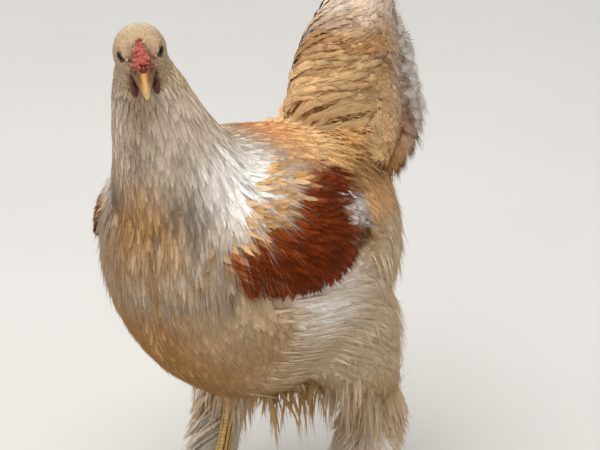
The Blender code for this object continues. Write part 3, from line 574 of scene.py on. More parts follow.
def painted(points, base, patches):
    """Colours at some points: a base colour with soft patches over it."""
    made = plain(base, len(points))
    place = np.column_stack([np.abs(points[:, 0]), points[:, 1:]])
    for name, centre, reach, strength in patches:
        far = (((place - centre) / np.array(reach)) ** 2).sum(1)
        weight = (strength * np.exp(-(far**1.5)))[:, None]
        made = made * (1 - weight) + INK[name] * weight
    return made


def soft_step(value, low, high):
    t = np.clip((value - low) / (high - low), 0, 1)
    return t * t * (3 - 2 * t)


def mixed(a, b, share):
    return a + (b - a) * np.asarray(share)[..., None]


def body_colour(points):
    return painted(points, "buff", BODY_PATCHES)


def set_colour(obj, colours, name="plumage"):
    """Stores a colour for each point of a mesh."""
    layer = obj.data.color_attributes.new(name=name, type="FLOAT_COLOR", domain="POINT")
    rgba = np.ones((len(colours), 4), np.float32)
    rgba[:, :3] = np.clip(colours, 0, 1)
    layer.data.foreach_set("color", rgba.ravel())
    return obj


print("plumage colours", len(INK), "patches", len(BODY_PATCHES))

# %% [markdown]
# ## What a feather is made of
#
# Feather is keratin, like a fingernail, split into barbs that lean forward from the shaft at some thirty
# degrees. The barbs are what the eye reads as softness: fine light and dark streaks, a matt surface with
# a faint sheen at a glancing angle, and no hard gloss. Real barbs sit about half a millimetre apart, too
# fine for this picture, so the streaks are drawn about twice as coarse.

# %% Feather finishes
BARB_PITCH = 0.0011
BARB_LENGTH = 0.009


def feather_finish(name, roughness, lean, contrast):
    """Keratin vane. lean is how far the barbs lean from the shaft, contrast how strongly they show."""
    made, tree, shader = new_material(name, roughness, Sheen_Weight=0.03, Sheen_Roughness=0.5,
                                      Specular_IOR_Level=0.08)
    colour = add_node(tree, "ShaderNodeAttribute", attribute_name="plumage")
    barb = add_node(tree, "ShaderNodeAttribute", attribute_name="barb")
    split = add_node(tree, "ShaderNodeSeparateXYZ", links={0: barb.outputs["Vector"]})
    aside = add_node(tree, "ShaderNodeMath", links={0: split.outputs["X"]}, operation="ABSOLUTE")
    turned = add_node(tree, "ShaderNodeMath", {1: -lean}, {0: split.outputs["Y"]}, operation="MULTIPLY")
    across = add_node(tree, "ShaderNodeMath", links={0: turned.outputs[0], 1: aside.outputs[0]},
                      operation="ADD")
    place = add_node(tree, "ShaderNodeCombineXYZ",
                     links={0: across.outputs[0], 1: split.outputs["Y"], 2: split.outputs["Z"]})
    scaled = add_node(tree, "ShaderNodeMapping", {"Scale": (1 / BARB_PITCH, 1 / BARB_LENGTH, 1.0)},
                      {"Vector": place.outputs[0]})
    streaks = add_node(tree, "ShaderNodeTexNoise", {"Scale": 1.0, "Detail": 2.0, "Roughness": 0.6},
                       {"Vector": scaled.outputs[0]})
    level = add_node(tree, "ShaderNodeMapRange",
                     {1: 0.25, 2: 0.75, 3: 1 - contrast, 4: 1 + contrast * 0.6},
                     {0: streaks.outputs["Fac"]})
    tint = add_node(tree, "ShaderNodeVectorMath", links={0: colour.outputs["Color"], 1: level.outputs[0]},
                    operation="MULTIPLY")
    tree.links.new(tint.outputs[0], shader.inputs["Base Color"])
    bump = add_node(tree, "ShaderNodeBump", {"Strength": 0.25, "Distance": 0.0003},
                    {"Height": streaks.outputs["Fac"]})
    tree.links.new(bump.outputs[0], shader.inputs["Normal"])
    return made


SOFT_FEATHER = feather_finish("soft_body_feather", 0.82, 0.55, 0.30)
HACKLE_FEATHER = feather_finish("silky_hackle_feather", 0.62, 0.25, 0.34)
QUILL_FEATHER = feather_finish("stiff_quill_feather", 0.60, 0.60, 0.28)
DOWN = feather_finish("down", 0.92, 0.15, 0.22)
print("feather finishes", SOFT_FEATHER.name, HACKLE_FEATHER.name, QUILL_FEATHER.name, DOWN.name)

# %% [markdown]
# ## The skin and the guide
#
# One skin runs over the body, the neck, the drumsticks and the roots of wings and tail. It lies as deep as
# the coat is thick, so that feathers grow out of it. The guide is the same body at the coat's surface.

# %% The guide that feathers lie on
COAT_DEPTH = 0.007
GUIDE_CUBE = 0.004


def body_forms(torso, neck, thigh, wing, tail):
    """The overlapping forms of the body, each grown by its own amount."""
    forms = [ring_mesh("form", torso_rings(torso)), ring_mesh("form", neck_rings(neck))]
    forms += [ring_mesh("form", thigh_rings(leg, thigh)) for leg in LEGS.values()]
    forms += [ring_mesh("form", wing_rings(side, wing)) for side in SIDES.values()]
    return [*forms, ring_mesh("form", tail_rings(tail))]


def make_guide():
    """A search tree over the surface of the coat."""
    head = ring_mesh("form", head_rings(0.0))
    guide = one_surface("guide", [*body_forms(0.0, 0.001, 0.0, 0.0, 0.0), head], GUIDE_CUBE, 10)
    tree = tree_of(guide)
    print("guide triangles", len(guide.data.polygons))
    bpy.data.objects.remove(guide, do_unlink=True)
    return tree


GUIDE = make_guide()

# %% Skin of the body
def mottled(tree, shader, scale, detail, dark, light):
    """Gives a shader the painted colour under a fine noise. Gives back the nodes of place and noise."""
    colour = add_node(tree, "ShaderNodeAttribute", attribute_name="plumage")
    place = add_node(tree, "ShaderNodeTexCoord")
    noise = add_node(tree, "ShaderNodeTexNoise", {"Scale": scale, "Detail": detail},
                     {"Vector": place.outputs["Object"]})
    level = add_node(tree, "ShaderNodeMapRange", {1: 0.3, 2: 0.7, 3: dark, 4: light},
                     {0: noise.outputs["Fac"]})
    tint = add_node(tree, "ShaderNodeVectorMath", links={0: colour.outputs["Color"], 1: level.outputs[0]},
                    operation="MULTIPLY")
    tree.links.new(tint.outputs[0], shader.inputs["Base Color"])
    return place, noise


def bumped(tree, shader, height, strength, distance):
    """Gives a shader fine relief from a node's output."""
    bump = add_node(tree, "ShaderNodeBump", {"Strength": strength, "Distance": distance},
                    {"Height": height})
    tree.links.new(bump.outputs[0], shader.inputs["Normal"])


def skin_finish(name, roughness, grain):
    """Bare or downy skin: the markings' colour under fine pebbling."""
    made, tree, shader = new_material(name, roughness, Subsurface_Weight=0.08)
    shader.inputs["Subsurface Radius"].default_value = (0.004, 0.0015, 0.0008)
    place, _ = mottled(tree, shader, scale=90.0, detail=3.0, dark=0.78, light=1.12)
    pebbles = add_node(tree, "ShaderNodeTexVoronoi", {"Scale": 1 / grain},
                       {"Vector": place.outputs["Object"]})
    bumped(tree, shader, pebbles.outputs["Distance"], strength=0.5, distance=grain * 0.3)
    return made


DOWNY_SKIN = skin_finish("downy_skin", 0.85, 0.003)


def body_skin():
    """One closed skin under the coat, in the coat's own colours a little deeper."""
    forms = body_forms(-COAT_DEPTH, -0.004, -COAT_DEPTH, -0.004, -0.006)
    skin = one_surface("skin_body", forms, cube=0.003, smoothing=6, material=DOWNY_SKIN)
    places = points_of(skin)
    colours = body_colour(places)
    grey = soft_step(places[:, 2], 0.44, 0.48) * soft_step(-places[:, 1], 0.02, 0.08)
    set_colour(skin, mixed(colours, INK["grey_cream"], grey) * 0.9)
    return finish_piece(skin, "cream_feather", "torso", "thigh_left", "thigh_right")


body_skin()

# %% [markdown]
# ## One feather, laid many times
#
# A body feather is a thin cambered vane. Here it is a closed three-sided blade, a flat underside and two
# faces that meet at the shaft, with barbs that stand out of its edges as slim closed spikes. One such
# shape is bent along thousands of lines at once with arrays, which keeps every copy a real, closed mesh.
# Each line starts in the skin and rises through the coat, so that a feather lies over the ones behind it.

# %% The feather's shape
def blade(outline, barbs, draw, ridge=0.06, columns=2, fray=0.28, first=0.30, reach=1.0):
    """A closed vane with barbs, as points (across, along, height) and triangles.

    outline gives (place along, half width), both as shares. fray is how far the barbs reach past the edge,
    first is where along the feather they start, and reach is how far the middle ones pass the tip.
    """
    outline = np.array(outline)
    points, triangles = [], []
    width = columns + 1
    for place, half in outline:
        for j in range(width):
            u = 2 * j / columns - 1
            points.append((u * half, place, ridge * half * (1 - u * u)))
    for i in range(len(outline) - 1):
        a, b = i * width, (i + 1) * width
        for j in range(columns):
            triangles += [(a + j, a + j + 1, b + j + 1), (a + j, b + j + 1, b + j)]
        triangles += [(a + columns, a, b), (a + columns, b, b + columns)]
    last = (len(outline) - 1) * width
    for j in range(1, columns):
        triangles += [(0, j + 1, j), (last, last + j, last + j + 1)]
    for k in range(barbs):
        # Barbs run from one edge over the tip to the other.
        q = 2 * (k + 0.5 + draw.uniform(-0.2, 0.2)) / barbs - 1
        side = math.copysign(1, q)
        share = 1 - abs(q)
        at = first + (outline[-1, 0] - 0.04 - first) * min(1.0, share * 1.35)
        half = float(np.interp(at, outline[:, 0], outline[:, 1]))
        inner = half * (0.92 if share < 0.74 else 0.92 * abs(q) / 0.26)
        lean = math.radians(20 + 45 * (1 - share))
        long = fray * draw.uniform(0.6, 1.3)
        tip = (side * (inner + long * math.sin(lean)), at + long * math.cos(lean) * 0.55 * reach,
               draw.uniform(-0.02, 0.14))
        thick, wide = 0.05, 0.055
        foot = [
            (side * inner * 0.8, at - wide * 0.4, 0.05),
            (side * inner, at + wide, 0.05),
            (side * inner * 0.9, at + wide * 0.3, -thick),
        ]
        ways = np.array([foot[1], foot[2], tip]) - np.array(foot[0])
        if np.linalg.det(ways) < 0:
            foot = foot[::-1]
        a = len(points)
        points += [*foot, tip]
        triangles += [(a, a + 1, a + 3), (a + 1, a + 2, a + 3), (a + 2, a, a + 3), (a, a + 2, a + 1)]
    return np.array(points), np.array(triangles)


# %% Laying feathers along lines
def place_blades(shape, lines, ups, half_widths, camber=0.07, roll=0.0):
    """Copies of one shape bent along lines: points for each copy."""
    u, s, h = shape[0].T
    steps = lines.shape[1] - 1
    i = np.clip((s * steps).astype(int), 0, steps - 1)
    g = (s * steps - i)[None, :, None]
    at = lines[:, i] * (1 - g) + lines[:, i + 1] * g
    ahead = unit(lines[:, i + 1] - lines[:, i])
    up = ups[:, i] * (1 - g) + ups[:, i + 1] * g
    up = unit(up - ahead * (ahead * up).sum(-1, keepdims=True))
    across = np.cross(ahead, up)
    half = half_widths[:, None, None]
    rise = (h - camber * u * u)[None, :, None] + np.asarray(roll).reshape(-1, 1, 1) * u[None, :, None]
    return at + across * u[None, :, None] * half + up * rise * half


class Coat:
    """Feathers gathered for one piece: points, triangles, colours, barb places and unwrapped places."""

    def __init__(self):
        self.points, self.triangles, self.colours, self.barbs, self.maps = [], [], [], [], []
        self.count = 0

    def add(self, shape, lines, ups, half_widths, colours, homes, draw, camber=0.07, roll=0.0, shade=None):
        """Adds copies of a shape. colours holds one colour for each feather, homes its unwrapped place."""
        if not len(lines):
            return self
        points = place_blades(shape, lines, ups, half_widths, camber, roll)
        copies, each = points.shape[:2]
        u, s, _ = shape[0].T
        length = np.linalg.norm(np.diff(lines, axis=1), axis=-1).sum(1)
        luck = draw.uniform(0, 1, copies)
        tone = colours[:, None, :] * draw.uniform(0.93, 1.06, (copies, 1, 1))
        tone = tone * draw.uniform(0.96, 1.04, (copies, each, 1))
        if shade is not None:
            tone = shade(tone, u[None], s[None], luck[:, None])
        base = self.count + np.arange(copies)[:, None, None] * each
        self.triangles.append((base + shape[1][None]).reshape(-1, 3))
        self.points.append(points.reshape(-1, 3))
        self.colours.append(tone.reshape(-1, 3))
        place = np.empty((copies, each, 3))
        place[..., 0] = u[None] * half_widths[:, None]
        place[..., 1] = s[None] * length[:, None]
        place[..., 2] = luck[:, None] * 97.0
        self.barbs.append(place.reshape(-1, 3))
        patch = np.stack([u * 0.0015, s * 0.003], -1)
        self.maps.append((homes[:, None] + patch[None]).reshape(-1, 2))
        self.count += copies * each
        return self

    def build(self, name, material):
        """The piece's mesh with its colours, barb places and unwrap."""
        points, triangles = np.concatenate(self.points), np.concatenate(self.triangles)
        obj = quick_mesh(name, points, triangles, [material])
        obj.data.shade_flat()
        set_colour(obj, np.concatenate(self.colours))
        barb = obj.data.attributes.new("barb", "FLOAT_VECTOR", "POINT")
        barb.data.foreach_set("vector", np.concatenate(self.barbs).astype(np.float32).ravel())
        layer = obj.data.uv_layers.new(name="OFBake")
        spots = np.concatenate(self.maps)[triangles.ravel()]
        layer.data.foreach_set("uv", spots.astype(np.float32).ravel())
        return obj


# %% Where feathers grow and how they lie
def roots_on(grid, pitch, spacing, draw, low=0.0, high=1.0):
    """Places (ring, side) in staggered rows over a ring form, with their place on its unwrap."""
    rings, sides = grid.shape[:2]
    closed = np.concatenate([grid, grid[:, :1]], 1)
    meridian = np.concatenate([[0], np.cumsum(np.linalg.norm(np.diff(grid, axis=0), axis=-1).mean(1))])
    places = np.arange(pitch / 2, meridian[-1], pitch) / meridian[-1]
    made = []
    for row, share in enumerate(places[(places >= low) & (places <= high)]):
        ring = float(np.interp(share * meridian[-1], meridian, np.arange(rings)))
        i = min(int(ring), rings - 2)
        section = closed[i] + (closed[i + 1] - closed[i]) * (ring - i)
        girth = np.concatenate([[0], np.cumsum(np.linalg.norm(np.diff(section, axis=0), axis=-1))])
        count = max(1, round(girth[-1] / spacing))
        turn = (np.arange(count) + 0.5 * (row % 2) + draw.uniform(-0.25, 0.25, count)) / count % 1
        side = np.interp(turn * girth[-1], girth, np.arange(sides + 1))
        jitter = draw.uniform(-0.25, 0.25, count) * pitch / meridian[-1] * rings
        made.append(np.stack([np.clip(ring + jitter, 0, rings - 1.001), side % sides], -1))
    places = np.concatenate(made)
    return places, np.stack([places[:, 1] / sides, places[:, 0] / rings], -1) * 0.98 + 0.01


def on_grid(grid, places):
    """Points of a ring form at places, and the ways along it there."""
    rings, sides = grid.shape[:2]

    def at(ring, side):
        ring = np.clip(ring, 0, rings - 1.001)
        i, f = ring.astype(int), (ring % 1)[:, None]
        side = side % sides
        j, g = side.astype(int), (side % 1)[:, None]
        n = (j + 1) % sides
        low = grid[i, j] * (1 - g) + grid[i, n] * g
        return low * (1 - f) + (grid[i + 1, j] * (1 - g) + grid[i + 1, n] * g) * f

    ring, side = places.T
    return at(ring, side), unit(at(ring + 0.4, side) - at(ring - 0.4, side))


def nearest(tree, points):
    """The nearest points of a surface and the ways out there."""
    found = [tree.find_nearest(p)[:2] for p in points.tolist()]
    return np.array([f[0] for f in found]), np.array([f[1] for f in found])


def lay(tree, roots, headings, lengths, steps, depth, lift, pull=None, curl=0.0):
    """Middle lines of feathers over a surface: they leave it at depth below and end at lift above it.

    pull turns the heading at each step towards another way, given by place, and curl raises the tips.
    """
    at, out = nearest(tree, roots)
    lines, ups = np.empty((len(roots), steps + 1, 3)), np.empty((len(roots), steps + 1, 3))
    heading = headings
    for i in range(steps + 1):
        t = i / steps
        rise = np.reshape(-depth * (1 - t) ** 2.2 + lift * t, (-1, 1)) + np.reshape(curl, (-1, 1)) * t**3
        lines[:, i] = at + out * rise
        ups[:, i] = out
        if i == steps:
            break
        heading = heading + (pull(at) if pull is not None else 0)
        heading = unit(heading - out * (heading * out).sum(1, keepdims=True))
        spot, normal = nearest(tree, at + heading * (lengths / steps)[:, None])
        at, out = spot, unit(out * 0.4 + normal * 0.6)
    return lines, ups


def near_surface(tree, points, within):
    """Which points lie close to a surface, so that roots buried in a neighbouring form are left out."""
    at, _ = nearest(tree, points)
    return ((points - at) ** 2).sum(1) < within**2


def shape_set(count, draw, **settings):
    """A few versions of one feather, so that neighbours differ."""
    return [blade(draw=draw, **settings) for _ in range(count)]


def add_mixed(coat, shapes, lines, ups, half_widths, colours, homes, draw, **settings):
    """Adds feathers with each of several versions of a shape in turn."""
    turn = draw.integers(0, len(shapes), len(lines))
    for k, shape in enumerate(shapes):
        m = turn == k
        coat.add(shape, lines[m], ups[m], half_widths[m], colours[m], homes[m], draw, **settings)
    return coat


STRAND = [(0.0, 0.08), (0.15, 0.70), (0.4, 1.0), (0.65, 0.70), (0.85, 0.35), (1.0, 0.10)]
LANCE = [(0.0, 0.22), (0.2, 0.70), (0.45, 1.0), (0.7, 0.82), (0.88, 0.45), (1.0, 0.12)]

# %% [markdown]
# ## The coat of the body
#
# Body feathers grow in staggered rows. Over the breast they point down, over the flanks back and a little
# down, under the belly back, and behind the legs they hang as loose fluff. Each one takes its heading from
# its place, and its line then follows the guide. The rows stand closer than on the bird's breast, where
# only the tips show, so that no skin is seen from any side.

# %% Which way body feathers lie
def body_heading(points):
    """The lie of the coat on the body: down the breast, back along the sides, down behind the legs."""
    y, z = points[:, 1], points[:, 2]
    front = soft_step(-y, 0.02, 0.13)[:, None]
    rear = soft_step(y, 0.06, 0.14)[:, None]
    low = soft_step(-z, -0.26, -0.20)[:, None]
    over_leg = (np.exp(-(((y - 0.012) / 0.055) ** 2)) * soft_step(-z, -0.335, -0.265))[:, None]
    back, down = np.array((0.0, 1.0, 0.0)), np.array((0.0, 0.0, -1.0))
    way = back * (1 - 0.80 * front - 0.45 * rear + 0.5 * low - 0.6 * over_leg)
    way = way + down * (0.28 + 0.95 * front + 0.75 * rear - 0.2 * low + 0.8 * over_leg)
    outward = np.stack([np.sign(points[:, 0]) * 0.16, 0 * y, 0 * z], -1)
    return unit(way + outward * front)


def down_and_root_shade(tone, u, s, luck):
    """Body feathers are darker at the root, partly the greyer down there and partly painted shade under the
    feathers that cover it, and a little paler along the edge and the tip.
    """
    level = 0.86 + 0.17 * soft_step(s, 0.15, 0.7) + 0.04 * np.abs(u) * (s < 0.9) - 0.04 * (s > 0.97)
    return tone * level[..., None]


# %% Feathers of the breast, the belly and the flanks
BODY_PITCH = 0.0068
BODY_SPACING = 0.0058
BODY_LENGTH = 0.048
BODY_HALF_WIDTH = 0.0058
STEPS = 5


def body_feathers():
    """Soft feathers in rows over the whole torso, as one list of lines with their colours."""
    draw = np.random.default_rng(21)
    grid = torso_rings()
    places, homes = roots_on(grid, BODY_PITCH, BODY_SPACING, draw)
    roots, _ = on_grid(grid, places)
    # The wings cover the sides, and the neck the front of the back.
    keep = near_surface(GUIDE, roots, within=0.006)
    # Fluff lies over the rear, so fewer feathers do under it.
    keep &= (roots[:, 1] < 0.085) | (draw.uniform(0, 1, len(roots)) < 0.85)
    roots, homes = roots[keep], homes[keep]
    headings = unit(body_heading(roots) + draw.normal(0, 0.12, roots.shape))
    lengths = BODY_LENGTH * draw.uniform(0.85, 1.2, len(roots))
    loose = soft_step(roots[:, 1], 0.03, 0.14) + soft_step(-roots[:, 2], -0.25, -0.19)
    lift = 0.0006 + 0.0010 * draw.uniform(0, 1, len(roots)) + 0.0015 * loose

    def pull(at):
        return 0.35 * body_heading(at)

    lines, ups = lay(GUIDE, roots, headings, lengths, STEPS, COAT_DEPTH, lift, pull)
    widths = BODY_HALF_WIDTH * draw.uniform(0.8, 1.15, len(roots))
    return lines, ups, widths, body_colour(lines[:, 3]), homes, draw


def body_coat():
    """The torso's feathers in four pieces, so that each stays small enough."""
    lines, ups, widths, colours, homes, draw = body_feathers()
    shapes = shape_set(5, draw, outline=LANCE, barbs=13, fray=0.9)
    x, y = lines[:, 1, 0], lines[:, 1, 1]
    parts = {"coat_breast": y < -0.085, "coat_rear": y > 0.085}
    sides = (y >= -0.085) & (y <= 0.085)
    parts["coat_flank_left"] = sides & (x > 0)
    parts["coat_flank_right"] = sides & (x <= 0)
    for name, m in parts.items():
        coat = Coat()
        add_mixed(coat, shapes, lines[m], ups[m], widths[m], colours[m], homes[m], draw, shade=down_and_root_shade)
        finish_piece(coat.build(name, SOFT_FEATHER), "buff_feather")


body_coat()

# %% Drumsticks
THIGH_LENGTH = 0.042
THIGH_HALF_WIDTH = 0.0054


def thigh_coat(word):
    """Soft cream feathers down a drumstick to the hock."""
    draw = np.random.default_rng(31)
    grid = thigh_rings(LEGS[word])
    places, homes = roots_on(grid, pitch=0.0072, spacing=0.0064, draw=draw, low=0.05, high=0.97)
    roots, along = on_grid(grid, places)
    keep = near_surface(GUIDE, roots, within=0.006) & (roots[:, 2] < 0.285)
    roots, along, homes = roots[keep], along[keep], homes[keep]
    low = soft_step(-roots[:, 2], -0.22, -0.15)
    lengths = THIGH_LENGTH * (1 - 0.25 * low) * draw.uniform(0.8, 1.15, len(roots))
    headings = unit(along + np.array((0, 0.35, -0.2)) + draw.normal(0, 0.12, roots.shape))
    lift = 0.001 + 0.0018 * draw.uniform(0, 1, len(roots)) * (1 - 0.4 * low)
    depth = COAT_DEPTH * (1 - 0.3 * low)
    lines, ups = lay(GUIDE, roots, headings, lengths, STEPS, depth, lift,
                     pull=lambda at: np.array((0, 0.05, -0.35)))
    colours = painted(lines[:, 3], "cream", [
        ("buff", (0.06, 0.02, 0.17), (0.10, 0.12, 0.035), 0.6),
        ("umber", (0.06, -0.01, 0.140), (0.05, 0.04, 0.014), 0.5),
    ])
    colours = mixed(colours, body_colour(lines[:, 3]), soft_step(lines[:, 3, 2], 0.19, 0.25))
    # The far, right drumstick is painted towards buff, as painted shade.
    if word == "right":
        colours = mixed(colours, INK["buff"], 0.45 * np.ones(len(colours)))
    widths = THIGH_HALF_WIDTH * (1 - 0.20 * low) * draw.uniform(0.8, 1.15, len(roots))
    shapes = shape_set(5, draw, outline=LANCE, barbs=13, fray=0.9)
    coat = add_mixed(Coat(), shapes, lines, ups, widths, colours, homes, draw, shade=down_and_root_shade)
    finish_piece(coat.build(f"coat_thigh_{word}", SOFT_FEATHER), "cream_feather")


for word in LEGS:
    thigh_coat(word)

# %% [markdown]
# Longer, narrower feathers lie loose over this coat along the flanks, over the rear and round the hocks.
# Below the belly and in front of the hocks others hang free, so they follow a curve and not the guide.

# %% Loose strands of the flanks, the rear and the hocks
def strands(name, grid, where, way, length, half_width, lift, share, seed):
    """Long soft feathers that lie loose over the coat.

    where gives the chance of one at a place, way its heading there, and share how much cream it may carry.
    """
    draw = np.random.default_rng(seed)
    places, homes = roots_on(grid, pitch=0.0090, spacing=0.0085, draw=draw)
    roots, _ = on_grid(grid, places)
    keep = near_surface(GUIDE, roots, within=0.006) & (draw.uniform(0, 1, len(roots)) < where(roots))
    roots, homes = roots[keep], homes[keep]
    headings = unit(way(roots) + draw.normal(0, 0.15, roots.shape))
    lengths = length * draw.uniform(0.7, 1.25, len(roots))
    rise = lift * draw.uniform(0.4, 1.6, len(roots))
    depth = COAT_DEPTH + 0.002
    lines, ups = lay(GUIDE, roots, headings, lengths, 7, depth, rise, lambda at: 0.22 * way(at),
                     curl=0.002)
    colours = mixed(body_colour(lines[:, 5]), INK["cream"], share * draw.uniform(0, 1, len(roots)))
    widths = half_width * draw.uniform(0.7, 1.2, len(roots))
    shapes = shape_set(5, draw, outline=STRAND, barbs=14, fray=1.1, first=0.2)
    coat = add_mixed(Coat(), shapes, lines, ups, widths, colours, homes, draw, shade=down_and_root_shade)
    finish_piece(coat.build(name, DOWN), "cream_feather")


def flank_way(at):
    """Back along the belly and the flank, sinking a little behind the middle."""
    sink = soft_step(at[:, 1], -0.05, 0.07)
    return np.stack([0 * sink, 1 + 0 * sink, -0.12 - 0.95 * sink], -1)


def down_way(at):
    return np.stack([0.10 * np.sign(at[:, 0]), 0.25 + 0 * at[:, 1], -1 + 0 * at[:, 1]], -1)


def on_flank(at):
    y, z = at[:, 1], at[:, 2]
    aside = soft_step(np.abs(at[:, 0]), 0.030, 0.060)
    along = soft_step(y, -0.145, -0.09) * soft_step(-y, -0.10, -0.06)
    return aside * along * soft_step(z, 0.21, 0.25) * soft_step(-z, -0.355, -0.32)


def on_hock(at):
    return soft_step(-at[:, 2], -0.235, -0.17)


def on_rear(at):
    y, z = at[:, 1], at[:, 2]
    return soft_step(y, 0.04, 0.085) * soft_step(z, 0.19, 0.22) * soft_step(-z, -0.40, -0.32)


strands("coat_flank_strands", torso_rings(), on_flank, flank_way,
        length=0.080, half_width=0.0032, lift=0.0014, share=0.8, seed=35)
strands("coat_rear_fluff", torso_rings(), on_rear, down_way,
        length=0.058, half_width=0.0040, lift=0.0024, share=0.8, seed=36)
for number, word in enumerate(LEGS):
    strands(f"coat_hock_fluff_{word}", thigh_rings(LEGS[word]), on_hock, down_way,
            length=0.042, half_width=0.0032, lift=0.0018, share=0.5, seed=37 + number)

# %% Fluff that hangs free between the legs
HANG_STEPS = 6
HANG_HALF_WIDTH = 0.0024
BELLY_FLUFF_LENGTH = 0.052
HOCK_LOCK_LENGTH = 0.055


def bent(handles, steps):
    """Points on the smooth curves that four handles steer, for many curves at once."""
    a, b, c, d = handles
    t = np.linspace(0, 1, steps + 1)[None, :, None]
    s = 1 - t
    return a[:, None] * s**3 + b[:, None] * 3 * s * s * t + c[:, None] * 3 * s * t * t + d[:, None] * t**3


def hang(name, roots, outs, spread, lengths, colours, draw):
    """Soft feathers that leave the coat and hang down, each bent outwards a little."""
    down = np.array((0, 0, -1.0)) * lengths[:, None]
    aside = outs * spread[:, None]
    handles = (roots, roots + aside * 0.5 + down * 0.2, roots + aside * 0.9 + down * 0.6,
               roots + aside + down)
    lines = bent(handles, HANG_STEPS)
    ups = np.repeat(unit(outs + np.array((0.1, -0.5, 0.1)))[:, None], HANG_STEPS + 1, 1)
    homes = draw.uniform(0.05, 0.95, (len(roots), 2))
    widths = HANG_HALF_WIDTH * draw.uniform(0.6, 1.3, len(roots))
    shapes = shape_set(5, draw, outline=STRAND, barbs=8, fray=1.2, first=0.2, reach=0.5)
    coat = add_mixed(Coat(), shapes, lines, ups, widths, colours, homes, draw, shade=down_and_root_shade)
    finish_piece(coat.build(name, DOWN), "cream_feather")


def belly_fluff():
    """Under the belly, between the drumsticks."""
    draw = np.random.default_rng(43)
    count = 300
    x, y = draw.uniform(-0.048, 0.062, count), draw.uniform(-0.030, 0.100, count)
    roots = np.stack([x, y, curve(TORSO, y)[:, 1] + 0.010 + 2.0 * x * x], -1)
    outs = unit(np.stack([draw.normal(0, 1, count), draw.normal(-0.3, 1, count), 0 * x], -1))
    lengths = BELLY_FLUFF_LENGTH * draw.uniform(0.25, 1.2, count)
    colours = mixed(plain("belly", count), INK["flank"], draw.uniform(0, 1.0, count))
    hang("coat_belly_fluff", roots, outs, draw.uniform(0.004, 0.024, count), lengths, colours, draw)


def hock_locks(word, count, seed):
    """On the front and the inner side of a drumstick, down over the hock."""
    draw = np.random.default_rng(seed)
    hip, hock = np.array(LEGS[word]["hip"]), np.array(LEGS[word]["hock"])
    t = draw.uniform(0.45, 1.02, count)
    turn = np.radians(draw.uniform(-175, -40, count))
    outs = np.stack([SIDES[word] * np.cos(turn), np.sin(turn), 0 * t], -1)
    size = curve(THIGH, np.minimum(t, 1.0))[:, :1]
    roots = hip + (hock - hip) * t[:, None] + outs * (size - 0.009)
    lengths = HOCK_LOCK_LENGTH * draw.uniform(0.3, 1.2, count)
    colours = mixed(plain("flank", count), INK["grey_cream"], draw.uniform(0.1, 1.0, count))
    hang(f"coat_hock_locks_{word}", roots, outs, draw.uniform(0.008, 0.022, count), lengths, colours, draw)


belly_fluff()
hock_locks("left", count=220, seed=45)
hock_locks("right", count=80, seed=46)

# %% [markdown]
# ## The hackle
#
# A cockerel's neck feathers are long, narrow and silky, and they fall from the head like a mantle over the
# shoulders and the breast. On this young bird they are cream with smoky streaks at their lower ends. They
# lie in many rows, short under the head and some 60 mm long at the bottom, so that the neck widens
# smoothly into the body.

# %% Hackle
HACKLE_PITCH = 0.0056
HACKLE_SPACING = 0.0046
# Under the head, and how much more they gain down to the breast.
HACKLE_LENGTH, HACKLE_LENGTH_GAIN = 0.024, 0.044
HACKLE_HALF_WIDTH, HACKLE_WIDTH_GAIN = 0.0022, 0.0020


def hackle_colour(points, share, draw):
    """Cream hackle: warmer at the throat, smoky at the lower ends, buff where it meets the breast."""
    # The markings lie about the neck's own middle, which the turn of the head carries to the left.
    placed = points - np.array((0.014, 0, 0)) * soft_step(points[:, 2], 0.42, 0.54)[:, None]
    made = painted(placed, "grey_cream", [
        ("pale_cream", (0.0, -0.11, 0.57), (0.05, 0.05, 0.03), 0.7),
        ("throat", (0.0, -0.180, 0.535), (0.020, 0.030, 0.030), 0.85),
        ("throat", (0.0, -0.190, 0.485), (0.016, 0.040, 0.040), 0.55),
        ("buff", (0.0, -0.170, 0.420), (0.065, 0.050, 0.042), 1.0),
        ("white", (0.076, -0.088, 0.448), (0.046, 0.050, 0.030), 1.0),
        ("orange", (0.0, -0.006, 0.462), (0.060, 0.030, 0.030), 0.9),
        ("white", (0.046, -0.085, 0.468), (0.036, 0.045, 0.024), 1.0),
        ("smoke", (0.058, -0.160, 0.446), (0.030, 0.022, 0.026), 0.78),
        ("smoke", (0.072, -0.146, 0.426), (0.026, 0.026, 0.022), 0.30),
        ("cream", (0.0, -0.190, 0.345), (0.050, 0.050, 0.030), 0.4),
    ])
    aside = soft_step(np.abs(points[:, 0]), 0.025, 0.045) * soft_step(-points[:, 1], 0.125, 0.145)
    dark = 0.05 + 0.50 * aside * soft_step(points[:, 2], 0.400, 0.428)
    lower = soft_step(1 - share, 0.30, 0.65) * (draw.uniform(0, 1, len(points)) < dark)
    return mixed(made, INK["smoke"], lower * draw.uniform(0.3, 0.8, len(points)))


def silky(tone, u, s, luck):
    """A darker shaft line on some hackle feathers, paler edges, and a darker root, partly greyer down and
    partly painted shade under the feathers that lie over it.
    """
    shaft = np.exp(-((u / 0.35) ** 2)) * soft_step(s, 0.25, 0.6) * (luck < 0.25)
    level = 0.88 + 0.14 * soft_step(s, 0.1, 0.6) - 0.12 * shaft
    return tone * level[..., None]


